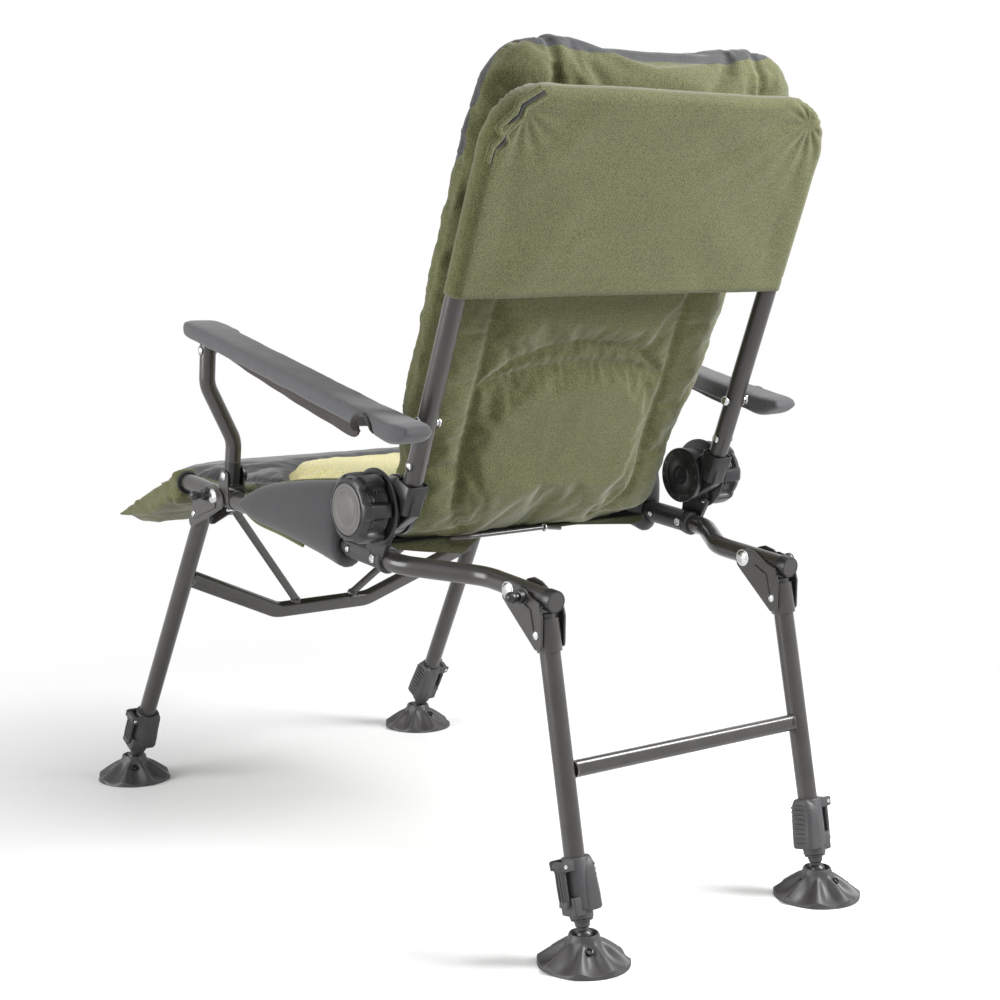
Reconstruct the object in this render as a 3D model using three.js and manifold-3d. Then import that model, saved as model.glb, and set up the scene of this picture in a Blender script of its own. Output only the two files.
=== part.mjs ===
import * as THREE from "three";
import { mergeVertices } from "three/addons/utils/BufferGeometryUtils.js";
import Module from "manifold-3d";

const wasm = await Module();
wasm.setup();

// Carp fishing chair, lengths in mm, floor at z = 0, the sitter looks along -y, the left side is at +x
// While it is being built, y = 0 lies on the hinge axis of the front legs; the last lines centre the whole

// General
const weld = 0.001;
const clear = 0.4;
const play = 0.6;
const tube_radius = 12.5;
const tube_sides = 12;
const bend_steps = 4;
const disc_sides = 20;
const disc_from_radius = 25;
const round_sides = 12;
const round_from_radius = 7;
const small_sides = 8;
const degree = Math.PI / 180;

// Seat frame
const front_hinge_height = 471.8;
const seat_drop_share = 0.08;
const seat_half_spacing = 255;
const seat_front_bend_y = -115;
const seat_front_bend_radius = 100;
const seat_front_angle = 22.5 * degree;
const seat_front_reach = 173;
const seat_front_split = 62;
const seat_front_corner_radius = 60;
const seat_end_before_recliner = 40;
const tube_joint_gap = 4;
const rear_bend_after_saddle = 25;
const rear_bend_share = 1.45;
const rear_hinge_after_bend = 65.8;
const rear_lock_after_hinge = 29.2;
const rear_end_after_hinge = 68.2;
const rear_tube_half_spacing = 191.6;
const rear_bend_radius = 62;
const plug_wall = 1;
const plug_length = 14;
const plug_edge = 1;

// Saddle and recliner
const recliner_y = 412;
const recliner_rise = 68.16;
const saddle_length = 83;
const saddle_behind_recliner = 6;
const saddle_wall = 2.3;
const saddle_lip_wall = 4.5;
const saddle_lip_length = 9;
const saddle_front_rivet_inset = 9;
const saddle_rear_rivet_inset = 17;
const rivet_radius = 5.2;
const rivet_height = 2.4;
const recliner_lean = 21.2 * degree;
const saddle_web_before = 28;
const saddle_web_behind = 18;
const saddle_disc_radius = 33;
const saddle_disc_out = 6;
const saddle_disc_thickness = 8.5;
const flange_radius = 48;
const flange_thickness = 4;
const lug_behind = 6;
const lug_length = 19;
const lug_drop = 33.5;
const lug_half_height = 3;
const knob_gap = 1;
const knob_length = 39;
const knob_radius = 45.5;
const knob_lobe_depth = 9;
const knob_lobe_count = 6;
const knob_lobe_steps = 8;
const knob_bevel = 5;
const knob_cap_radius = 31.5;
const knob_cap_height = 1.5;
const knob_bolt_radius = 5;
const hub_wall = 3;
const hub_beside_tube = 1;
const hub_disc_rim = 2;
const hub_disc_thickness = 7.5;
const hub_disc_step_radius = 27;
const hub_disc_groove_radius = 14;
const hub_disc_groove_depth = 2;
const socket_from_up = 13;
const socket_to_up = 52;
const socket_clearance = 0.7;
const socket_step = 2;
const socket_step_from_up = 34;
const socket_corner_radius = 5;
const back_tube_from_up = 17;

// Back frame
const back_tube_offset = 6;
const back_inset = 2;
const back_split_below_top = 118;
const back_top_up = 538;
const back_corner_radius = 60;
const back_rivet_up = 74.8;
const arm_pivot_up = 132.2;
const arm_pin_radius = 4.8;

// Armrest
const post_inset = 1.5;
const post_pivot_y = 25;
const post_pivot_rise = 33.2;
const post_foot_gap = 5.2;
const post_foot_lean = 1.1;
const post_low_bend_rise = 50;
const post_low_bend_lean = 7;
const post_high_bend_rise = 130;
const post_high_bend_lean = 16;
const post_top_rise = 186;
const post_top_lean = 21;
const post_bend_radius = 42;
const post_rivet_drop = 9;
const post_rivet_before = 2;
const strap_half_length = 13;
const strap_thickness = 2.2;
const strap_wrap_thickness = 1.1;
const strap_ear_rise = 9;
const strap_boss_thickness = 7;
const strap_boss_rise = 4;
const arm_pad_gap = 8.5;
const arm_bar_half_width = 3;
const arm_bar_half_height = 9;
const arm_bar_before_post = 22;
const arm_bar_above_post = 14.7;
const arm_bar_behind_pivot = 18;
const arm_boss_radius = 9;
const arm_boss_length = 20;
const arm_pin_inset = 16;
const arm_pin_head_radius = 6.5;
const arm_pin_head_length = 4;
const pad_slot_before_post = 36;
const pad_slot_behind_post = 72;
const pad_slot_gap = 4;
const pad_slot_below_bar = 8.6;
const pad_ring_steps = 16;
const pad_square_share = 0.77;
const pad_before_bar = 9;
const pad_behind_pivot = 52;
const pad_half_height = 14;
const pad_half_width = 26;
// each pad station: share of the length, of the half height below and above the bar's line, of the half width
const pad_station_shares = [
  [0, 0.45, 0.5, 0.72],
  [0.006, 0.7, 0.76, 0.86],
  [0.02, 0.8, 0.9, 0.96],
  [0.06, 0.84, 0.98, 1],
  [0.2, 0.86, 0.98, 0.98],
  [0.45, 0.94, 0.9, 0.97],
  [0.65, 1.04, 0.82, 0.97],
  [0.8, 1.12, 0.78, 0.98],
  [0.89, 1.08, 0.8, 1],
  [0.935, 1.16, 0.84, 1],
  [0.97, 0.72, 0.92, 0.94],
  [1, -0.1, 0.86, 0.72],
];
const pad_hole_from_front = 445;
const pad_hole_radius = 18;
const pad_hole_depth = 9;

// Front legs, measured down the leg and out to the front from the hinge
const front_leg_angle = 28.2 * degree;
const front_leg_out = 35.5;
const front_leg_gap = 1.3;
const front_leg_splay = 11.8;
const ball_height = 32;
const front_plate_length = 77;
const front_plate_width = 46;
// the outline of the front bracket as shares of its length down the leg and of its width outwards
const front_plate_shares = [
  [0.47, 1], [0.93, 0.96], [1, 0.78], [0.91, 0.59], [0, -0.61], [-0.16, -0.57], [-0.23, -0.35], [-0.22, 0.13],
  [-0.05, 0.52],
];
const plate_thickness = 3;
const hinge_rivet_radius = 6;
const hinge_head_rim = 4;
const hinge_head_height = 3.2;
const leg_rivet_down = 55;
const leg_rivet_radius = 5;
const front_lock_gap = 0.3;
const lock_pin_radius = 4;
const lock_collar_radius = 8;
const lock_collar_height = 8;
const lock_ball_radius = 7;
const lock_ball_gap = 2.4;
const brace_leg_down = 172;
const brace_bend_x = 82;
const brace_bend_down = 256;
const brace_height = 24;
const brace_thickness = 15;
const brace_bend_radius = 40;
const strut_low_x = 52;
const strut_low_above_bend = 16;
const strut_top_down = 25;
const strut_top_out = 28;
const strut_half_width = 6;
const strut_half_thickness = 4;

// Rear legs, measured down the leg and out to the rear from the hinge
const rear_leg_angle = 11.9 * degree;
const rear_leg_out = 42.7;
const rear_leg_gap = 0.62;
const rear_leg_splay = 1.9;
const rear_plate_length = 73;
const rear_plate_width = 58;
// the outline of the rear bracket as shares of its length down the leg and of its width outwards
const rear_plate_shares = [
  [-0.15, -0.1], [-0.16, 0.14], [-0.08, 0.38], [0.11, 0.66], [0.25, 0.97], [0.49, 1], [0.99, 0.86], [1, 0.66],
  [0.27, -0.07], [0.11, -0.22], [-0.05, -0.22],
];
const rear_plate_clearance = 3.1;
const rear_sleeve_wall = 2.7;
const rear_sleeve_from = 37;
const rear_sleeve_to = 76;
const rear_bar_down = 216;
const rear_bar_height = 20;
const rear_bar_thickness = 16;

// Leg ends, measured up the leg from the ball
const clamp_height = 71;
const clamp_above_ball = 22.5;
const clamp_wall = 5;
const clamp_foot_wall = 3;
const clamp_rib_count = 2;
const clamp_rib_depth = 2.2;
const clamp_rib_radius = 4;
const clamp_lug_half_width = 8;
const clamp_foot_share = 0.3;
const lever_length = 46;
const lever_half_width = 8.5;
const lever_thickness = 6;
const lever_pivot_beside = 6.5;
const lever_pivot_down = 7;
const lever_pivot_radius = 4.5;
const lever_boss_radius = 5.5;
const inner_inset = 2.1;
const inner_top_above_ball = 215;
const collar_wall = 1;
const collar_from = 20.4;
const collar_to = 22;
const stud_radius = 6.5;
const stud_to = 19.4;
const ball_radius = 11;
const socket_cup_clear = 0.7;
const foot_radius = 55;
const foot_top = 38;
const foot_neck_radius = 18;
const foot_mouth_radius = 15.4;
const foot_edge = 3.5;
const foot_wave_count = 8;
const foot_wave_steps = 2;
const foot_wave_height = 3.2;
const foot_shell = 5;

// Seat cushion, flap and sling
const cushion_rivet_gap = 2;
const cushion_saddle_gap = 8;
const cushion_thickness = 50;
// each nose station: share of the front bar's reach, of the flap's height for the underside,
// and of the cushion's thickness for top and edge, all above the tubes
const nose_station_shares = [
  [0.85, 0.87, 0.86, 0.7],
  [0.815, 0.72, 1.01, 0.73],
  [0.7, 0.48, 1, 0.66],
  [0.52, 0.23, 0.81, 0.49],
  [0.347, -0.03, 0.62, 0.32],
  [0.145, -0.34, 0.45, 0.13],
  [-0.017, -0.64, 0.3, -0.04],
];
// each seat station: share of the length, of the thickness for the underside above the sling,
// and of the thickness for top and edge above the tubes
const seat_station_shares = [
  [0.07, 0, 0.39, -0.09],
  [0.17, 0, 0.52, -0.02],
  [0.396, 0, 0.72, 0.14],
  [0.667, 0, 0.97, 0.33],
  [0.871, 0, 1.24, 0.48],
  [0.98, 0.02, 1.43, 0.59],
  [1, 0.12, 1.25, 0.65],
];
const cushion_crown_share = 0.31;
const bolster_post_gap = 29;
const bolster_reach = 26;
const bolster_inner_gap = 29;
// each bolster station: share of the length, of the cushion's thickness for underside and top, of the reach
const bolster_station_shares = [
  [0, 0.03, 0.19, 0.58],
  [0.07, -0.04, 0.42, 0.69],
  [0.223, -0.1, 0.78, 0.85],
  [0.415, -0.14, 1.06, 0.96],
  [0.604, -0.18, 1.28, 1],
  [0.8, -0.3, 1.48, 1],
  [0.942, -0.48, 1.6, 0.92],
  [1, -0.63, 1.53, 0.81],
];
const bolster_ring_steps = 12;
const bolster_square_share = 0.83;
const cushion_ring_steps = 20;
const flap_height = 30;
// the flap's outline beside and between the tubes: shares of the front bar's reach and of the flap's height
const flap_side_shares = [
  [-0.05, 0.53], [0.132, 0.42], [0.496, 0.5], [0.76, 0.48], [1.056, 0.54], [1.206, 0.28], [1.131, -0.33],
  [0.815, -0.98], [0.458, -0.89], [0.104, -1.01], [-0.002, -0.76], [-0.067, -0.2],
];
const flap_middle_shares = [
  [0.031, -0.61], [0.189, -0.36], [0.526, 0.08], [0.764, 0.42], [1.054, 0.57], [1.191, 0.32], [1.129, -0.3],
  [0.808, -0.88], [0.458, -0.89], [0.109, -1.08], [0.033, -1.07], [-0.001, -0.94],
];
const flap_middle_inset = 22;
const flap_side_inset = 16;
const flap_overhang = 16;
const flap_edge = 5;
const sling_side_gap = 33;
const sling_from_y = 30;
const cushion_rest_gap = 0.8;
const sling_before_recliner = 60;
const sling_front_drop = 21.4;
const sling_rear_rise = 2.4;
const sling_thickness = 3;
const sling_hem_thickness = 3;
const sling_hem_depth = 25;
// the hem's outline seen from behind, as shares of the sling's half width and of the hem's depth
const sling_hem_shares = [
  [-0.995, 0.04], [-0.995, -0.24], [-0.9, -0.48], [-0.45, -0.08], [0.47, -0.08], [0.415, -1], [0.72, -0.6],
  [0.995, -0.04], [0.995, 0.04],
];
const strap_rod_radius = 3;
const strap_rod_reach = 20;
// the rod below the sling's end, as shares of the sling's half width, of the rod's reach and of its radius
const strap_rod_shares = [[0.53, 0.17, -0.33], [0.43, 0.8, 0.17], [-0.13, 1, 0.67], [-0.27, 0.6, -1]];

// Back cushion, measured up the back and behind the recliner axis
const back_cushion_from_up = 72;
const back_cushion_above_tube = 55;
const back_cushion_front = 58;
const back_cushion_inset = 5;
// each back station: share of the length, of the depth in front, of the depth to the pocket, of the half width
const back_station_shares = [
  [0, 0.86, -0.17, 0.92],
  [0.0115, 0.97, -0.04, 0.95],
  [0.13, 1, 0.04, 0.98],
  [0.36, 1, 0.13, 0.995],
  [0.59, 1, 0.42, 1],
  [0.764, 0.98, 1, 1],
  [0.898, 0.95, 0.97, 0.99],
  [0.965, 0.86, 0.42, 0.95],
  [0.99, 0.72, 0, 0.895],
  [1, 0.59, -0.5, 0.825],
];
const back_square_share = 0.16;
const bend_thickness_share = 0.62;
const bend_inset = 31;
// each bend station: shares of the way back and up from seat to back, of the half thickness, of the angle
const bend_station_shares = [
  [0, 0, 1, 0],
  [0.289, -0.04, 0.935, 0.2],
  [0.523, 0.02, 0.9, 0.52],
  [0.687, 0.2, 0.87, 0.84],
  [0.805, 0.468, 0.855, 0.975],
  [0.9, 0.766, 0.806, 1],
  [1, 1, 0.726, 1],
];
const bend_start_share = 0.75;
const pocket_depth = 238;
const pocket_gap = 0.5;
const pocket_skin = 2;
const pocket_corner_steps = 4;

// Places that follow from the sizes
const seat_line_height = (y) => front_hinge_height - seat_drop_share * y;
const saddle_to_y = recliner_y + saddle_behind_recliner;
const saddle_from_y = saddle_to_y - saddle_length;
const seat_rear_end_y = recliner_y - seat_end_before_recliner;
const rear_tube_start_y = seat_rear_end_y + tube_joint_gap;
const rear_bend_out_y = saddle_to_y + rear_bend_after_saddle;
const rear_tube_offset = seat_half_spacing - rear_tube_half_spacing;
const rear_bend_in_y = rear_bend_out_y + rear_bend_share * rear_tube_offset;
const rear_hinge_y = rear_bend_in_y + rear_hinge_after_bend;
const rear_lock_y = rear_hinge_y + rear_lock_after_hinge;
const rear_tube_end_y = rear_hinge_y + rear_end_after_hinge;
const recliner_height = seat_line_height(recliner_y) + recliner_rise;
const plug_radius = tube_radius + plug_wall;
const saddle_radius = tube_radius + saddle_wall;
const saddle_lip_radius = tube_radius + saddle_lip_wall;
const post_radius = tube_radius - post_inset;
const front_plate_gap = post_radius + play + strap_thickness + clear;
const rear_plate_gap = tube_radius + rear_plate_clearance;
const rear_sleeve_radius = tube_radius + rear_sleeve_wall;
const clamp_radius = tube_radius + clamp_wall;
const clamp_foot_radius = tube_radius + clamp_foot_wall;
const inner_radius = tube_radius - inner_inset;
const collar_radius = tube_radius + collar_wall;
const back_tube_behind = saddle_disc_radius + back_tube_offset;
const saddle_disc_from_x = seat_half_spacing + saddle_disc_out;
const saddle_disc_to_x = saddle_disc_from_x + saddle_disc_thickness;
const flange_to_x = saddle_disc_to_x + flange_thickness;
const knob_from_x = flange_to_x + knob_gap;
const knob_to_x = knob_from_x + knob_length;
const hub_to_x = saddle_disc_from_x - play;
const back_half_spacing = seat_half_spacing - back_inset;
const hub_from_x = back_half_spacing - tube_radius + hub_beside_tube;
const hub_radius = saddle_disc_radius + hub_wall;
const hub_disc_radius = hub_radius + hub_disc_rim;
const hub_disc_from_x = hub_from_x - hub_disc_thickness;
const knob_bolt_from_x = hub_disc_from_x + hub_disc_groove_depth;
const socket_half_width = saddle_disc_to_x - back_half_spacing - socket_clearance;
const arm_x = back_half_spacing + tube_radius + arm_pad_gap + pad_half_width;
const arm_boss_from_x = arm_x - arm_boss_length;
const arm_pin_from_x = back_half_spacing - arm_pin_inset;
const post_pivot_height = seat_line_height(post_pivot_y) + post_pivot_rise;
const hinge_head_radius = hinge_rivet_radius + hinge_head_rim;
const front_lock_before_hinge = hinge_head_radius + lock_collar_radius + front_lock_gap;
const lock_ball_reach =
  rear_plate_gap + plate_thickness + lock_collar_height + lock_ball_radius + lock_ball_gap;
const strut_low_down = brace_bend_down - strut_low_above_bend;
const clamp_top_above_ball = clamp_above_ball + clamp_height;
const lever_pivot_out = clamp_radius + lever_pivot_beside;
const cushion_side_gap = front_plate_gap + plate_thickness + play + hinge_head_height + cushion_rivet_gap;
// how far down a leg its tube may start below the seat's tube, from the gap wanted at its upper corner
function leg_top(angle, out, slope, gap) {
  const rise = Math.sin(angle) + slope * Math.cos(angle);
  const run = Math.cos(angle) - slope * Math.sin(angle);
  return (gap + (out + tube_radius) * rise) / run;
}
const front_leg_top = leg_top(front_leg_angle, front_leg_out, -seat_drop_share, tube_radius + front_leg_gap);
const rear_leg_top = leg_top(rear_leg_angle, rear_leg_out, seat_drop_share, plug_radius + rear_leg_gap);
const post_foot_drop = post_pivot_rise - post_foot_gap - tube_radius - clear - strap_wrap_thickness;
const back_split_up = back_top_up - back_split_below_top;
const pocket_hem_up = back_top_up - pocket_depth;
const back_cushion_length = back_top_up + back_cushion_above_tube - back_cushion_from_up;
const pocket_half_thickness = tube_radius + pocket_gap + pocket_skin;
const cushion_half_width = seat_half_spacing - cushion_side_gap;
const cushion_end_y = saddle_from_y - cushion_saddle_gap;
const cushion_length = cushion_end_y - seat_front_bend_y;
const bolster_length = cushion_end_y - post_pivot_y - strap_half_length - bolster_post_gap;
const sling_half_width = seat_half_spacing - sling_side_gap;
const sling_to_y = recliner_y - sling_before_recliner;

// Materials
const paint = (color, metalness, roughness) =>
  new THREE.MeshStandardMaterial({ color, metalness, roughness });
const black_paint = paint(0x26262a, 0.5, 0.45);
const black_plastic = paint(0x1c1d20, 0, 0.5);
const zinc = paint(0xb8bac0, 0.9, 0.3);
const olive = paint(0x4d5a2e, 0, 0.9);
const grey_neoprene = paint(0x3c3e44, 0, 0.85);
const black_cloth = paint(0x1d1f1c, 0, 0.9);

// Basic solids
const vec = (x, y, z) => new THREE.Vector3(x, y, z);
const x_axis = vec(1, 0, 0);
const y_axis = vec(0, 1, 0);
const z_axis = vec(0, 0, 1);

function to_solid(geometry) {
  const bare = new THREE.BufferGeometry();
  bare.setAttribute("position", geometry.getAttribute("position"));
  if (geometry.index) bare.setIndex(geometry.index);
  const merged = mergeVertices(bare, weld);
  return new wasm.Manifold(
    new wasm.Mesh({
      numProp: 3,
      vertProperties: merged.attributes.position.array,
      triVerts: new Uint32Array(merged.index.array),
    }),
  );
}

function to_geometry(solid) {
  const data = solid.getMesh();
  const positions = new Float32Array(data.numVert * 3);
  for (let i = 0; i < data.numVert; i++) {
    positions.set(data.vertProperties.subarray(i * data.numProp, i * data.numProp + 3), i * 3);
  }
  const geometry = new THREE.BufferGeometry();
  geometry.setAttribute("position", new THREE.BufferAttribute(positions, 3));
  geometry.setIndex(new THREE.BufferAttribute(data.triVerts, 1));
  const flat = geometry.toNonIndexed();
  flat.computeVertexNormals();
  return flat;
}

const joined = (...solids) => wasm.Manifold.union(solids);

// A solid through rings of equal length, each ring a list of points in order, with flat ends
function loft(rings) {
  const count = rings[0].length;
  const positions = rings.flatMap((ring) => ring.flatMap((p) => [p.x, p.y, p.z]));
  const faces = [];
  for (let r = 0; r + 1 < rings.length; r++) {
    for (let i = 0; i < count; i++) {
      const j = (i + 1) % count;
      const a = r * count + i;
      const b = r * count + j;
      faces.push(a, b, b + count, a, b + count, a + count);
    }
  }
  [0, rings.length - 1].forEach((r, is_end) => {
    const middle = positions.length / 3;
    const sum = rings[r].reduce((total, p) => total.add(p), vec(0, 0, 0)).divideScalar(count);
    positions.push(sum.x, sum.y, sum.z);
    for (let i = 0; i < count; i++) {
      const a = r * count + i;
      const b = r * count + ((i + 1) % count);
      if (is_end) faces.push(a, b, middle);
      else faces.push(b, a, middle);
    }
  });
  const geometry = new THREE.BufferGeometry();
  geometry.setAttribute("position", new THREE.Float32BufferAttribute(positions, 3));
  geometry.setIndex(faces);
  const solid = to_solid(geometry);
  if (solid.volume() > 0) return solid;
  const turned = faces.slice();
  for (let i = 0; i < turned.length; i += 3) [turned[i], turned[i + 1]] = [turned[i + 1], turned[i]];
  geometry.setIndex(turned);
  return to_solid(geometry);
}

// The corner points of a bent line, each corner replaced by a bend
function bent(points, radius, steps = bend_steps) {
  const line = [points[0]];
  for (let i = 1; i + 1 < points.length; i++) {
    const into = points[i].clone().sub(points[i - 1]).normalize();
    const away = points[i + 1].clone().sub(points[i]).normalize();
    const turn = into.angleTo(away);
    const inset = radius * Math.tan(turn / 2);
    const start = points[i].clone().addScaledVector(into, -inset);
    const inward = away.clone().addScaledVector(into, -away.dot(into)).normalize();
    for (let s = 0; s <= steps; s++) {
      const angle = (turn * s) / steps;
      line.push(
        start
          .clone()
          .addScaledVector(into, radius * Math.sin(angle))
          .addScaledVector(inward, radius * (1 - Math.cos(angle))),
      );
    }
  }
  line.push(points[points.length - 1]);
  return line;
}

// A bar along a line; the section is a list of [sideways, upwards], square to the given side direction
function swept(line, section, side) {
  let across = side.clone();
  const rings = line.map((point, i) => {
    const before = i ? point.clone().sub(line[i - 1]).normalize() : vec(0, 0, 0);
    const after = i + 1 < line.length ? line[i + 1].clone().sub(point).normalize() : vec(0, 0, 0);
    const along = before.clone().add(after).normalize();
    across.addScaledVector(along, -across.dot(along)).normalize();
    const up = across.clone().cross(along);
    return section.map(([a, b]) => point.clone().addScaledVector(across, a).addScaledVector(up, b));
  });
  return loft(rings);
}

function circle(radius, sides) {
  return Array.from({ length: sides }, (_, i) => {
    const angle = ((i + 1 / 2) * 2 * Math.PI) / sides;
    return [radius * Math.cos(angle), radius * Math.sin(angle)];
  });
}

function sides_for(radius) {
  if (radius > disc_from_radius) return disc_sides;
  return radius > round_from_radius ? round_sides : small_sides;
}

const box_section = (half_width, half_height) => [
  [half_width, -half_height],
  [half_width, half_height],
  [-half_width, half_height],
  [-half_width, -half_height],
];

function side_of(from, to) {
  const along = to.clone().sub(from).normalize();
  return Math.abs(along.x) > 1 / 2 ? z_axis.clone().cross(along) : x_axis.clone();
}

const tube = (line, radius, sides = tube_sides) =>
  swept(line, circle(radius, sides), side_of(line[0], line[1]));
const rod = (from, to, radius, sides = sides_for(radius)) => tube([from, to], radius, sides);

// A round solid along an axis, from a list of [distance along the axis, radius]
function turned(origin, axis, profile, sides = round_sides) {
  const side = Math.abs(axis.x) > 1 / 2 ? y_axis : x_axis;
  const across = side.clone().addScaledVector(axis, -side.dot(axis)).normalize();
  const up = axis.clone().cross(across);
  return loft(
    profile.map(([along, radius]) =>
      circle(radius, sides).map(([a, b]) =>
        origin.clone().addScaledVector(axis, along).addScaledVector(across, a).addScaledVector(up, b),
      ),
    ),
  );
}

// A flat plate across x: outline as points in space at x = 0, between two x
function plate(outline, from_x, to_x) {
  const shape = new THREE.Shape(outline.map((p) => new THREE.Vector2(p.y, p.z)));
  const geometry = new THREE.ExtrudeGeometry(shape, { depth: to_x - from_x, bevelEnabled: false });
  geometry.applyMatrix4(new THREE.Matrix4().makeBasis(y_axis, z_axis, x_axis));
  geometry.translate(from_x, 0, 0);
  return to_solid(geometry);
}

const cross_rod = (x_from, x_to, at, radius, sides = sides_for(radius)) =>
  rod(vec(x_from, at.y, at.z), vec(x_to, at.y, at.z), radius, sides);

// Frames of the folding members: points from distances along and beside each member
const seat_point = (x, y, above = 0) => {
  const slope = Math.atan(seat_drop_share);
  const height = front_hinge_height - seat_drop_share * y;
  return vec(x, y + above * Math.sin(slope), height + above * Math.cos(slope));
};
const front_point = (x, down, out) =>
  vec(
    x,
    -down * Math.sin(front_leg_angle) - out * Math.cos(front_leg_angle),
    front_hinge_height - down * Math.cos(front_leg_angle) + out * Math.sin(front_leg_angle),
  );
const rear_hinge = seat_point(0, rear_hinge_y);
const rear_point = (x, down, out) =>
  vec(
    x,
    rear_hinge_y + down * Math.sin(rear_leg_angle) + out * Math.cos(rear_leg_angle),
    rear_hinge.z - down * Math.cos(rear_leg_angle) + out * Math.sin(rear_leg_angle),
  );
const back_point = (x, up, behind) =>
  vec(
    x,
    recliner_y + up * Math.sin(recliner_lean) + behind * Math.cos(recliner_lean),
    recliner_height + up * Math.cos(recliner_lean) - behind * Math.sin(recliner_lean),
  );

// Where a leg ends: the distance down it at which its line reaches the ball's height
const front_ball_down =
  (front_hinge_height + front_leg_out * Math.sin(front_leg_angle) - ball_height) / Math.cos(front_leg_angle);
const rear_ball_down =
  (rear_hinge.z + rear_leg_out * Math.sin(rear_leg_angle) - ball_height) / Math.cos(rear_leg_angle);
const front_leg_x = (down) => seat_half_spacing + (front_leg_splay * down) / front_ball_down;
const rear_leg_x = (down) => rear_tube_half_spacing + (rear_leg_splay * down) / rear_ball_down;
const front_axis_point = (down) => front_point(front_leg_x(down), down, front_leg_out);
const rear_axis_point = (down) => rear_point(rear_leg_x(down), down, rear_leg_out);

// Nodes: pieces that come in pairs are built once, for the left side, and mirrored
const chair = new THREE.Group();
const left_side = new THREE.Group();
const right_side = new THREE.Group();
right_side.scale.x = -1;
chair.add(left_side, right_side);

function add(name, solid, material) {
  const mesh = new THREE.Mesh(to_geometry(solid), material);
  mesh.name = name;
  chair.add(mesh);
}

function add_pair(name, solid, material) {
  const geometry = to_geometry(solid);
  [["left_", left_side], ["right_", right_side]].forEach(([side, group]) => {
    const mesh = new THREE.Mesh(geometry, material);
    mesh.name = side + name;
    group.add(mesh);
  });
}

// A rivet's domed heads on both faces of a piece, with the shank between them
function rivet(at, from_x, to_x, radius, height) {
  const rim_share = 0.6;
  const head = (x, direction) =>
    turned(vec(x, at.y, at.z), vec(direction, 0, 0), [
      [0, radius],
      [height * rim_share, radius * (1 + rim_share) / 2],
      [height, radius * (1 - rim_share)],
    ], small_sides);
  const shank = cross_rod(from_x - weld, to_x + weld, at, radius / 2, small_sides);
  return joined(head(from_x, -1), head(to_x, 1), shank);
}

// Seat frame
const front_bend = seat_point(seat_half_spacing, seat_front_bend_y);
const down_front = (x, along) =>
  vec(
    x,
    front_bend.y - along * Math.cos(seat_front_angle),
    front_bend.z - along * Math.sin(seat_front_angle),
  );

function seat_tube() {
  const bar = tube(
    bent(
      [seat_point(seat_half_spacing, seat_rear_end_y), front_bend, down_front(seat_half_spacing, seat_front_split)],
      seat_front_bend_radius,
    ),
    tube_radius,
  );
  const hinge = seat_point(0, 0);
  const reach = front_plate_gap + plate_thickness + play;
  const [from_x, to_x] = [seat_half_spacing - reach, seat_half_spacing + reach];
  const pin = rivet(hinge, from_x, to_x, hinge_head_radius, hinge_head_height);
  const shank = cross_rod(from_x, to_x, hinge, hinge_rivet_radius - play);
  return joined(bar, pin, shank);
}

function front_bar() {
  const corners = [1, -1].map((side) => [
    down_front(side * seat_half_spacing, seat_front_split + clear),
    down_front(side * seat_half_spacing, seat_front_reach),
  ]);
  return bent([corners[0][0], corners[0][1], corners[1][1], corners[1][0]], seat_front_corner_radius);
}

function rear_tube() {
  const inner = rear_tube_half_spacing;
  return bent(
    [
      seat_point(seat_half_spacing, rear_tube_start_y),
      seat_point(seat_half_spacing, rear_bend_out_y),
      seat_point(inner, rear_bend_in_y),
      seat_point(inner, rear_tube_end_y),
    ],
    rear_bend_radius,
  );
}

function rear_tube_with_pin() {
  const line = rear_tube();
  const end = line[line.length - 1];
  const along = end.clone().sub(line[line.length - 2]).normalize();
  const plug = turned(end.clone().addScaledVector(along, -plug_length), along, [
    [0, plug_radius],
    [plug_length, plug_radius],
    [plug_length + plug_edge, tube_radius],
  ], tube_sides);
  const reach = rear_plate_gap + plate_thickness + play;
  const x = rear_tube_half_spacing;
  const pin = rivet(rear_hinge, x - reach, x + reach, hinge_head_radius, hinge_head_height);
  const shank = cross_rod(x - reach, x + reach, rear_hinge, hinge_rivet_radius - play);
  return joined(tube(line, tube_radius), plug, pin, shank);
}

const tube_channel = (from_y, to_y, radius) =>
  rod(seat_point(seat_half_spacing, from_y), seat_point(seat_half_spacing, to_y), radius, tube_sides);

const recliner_axis = vec(0, recliner_y, recliner_height);

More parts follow.
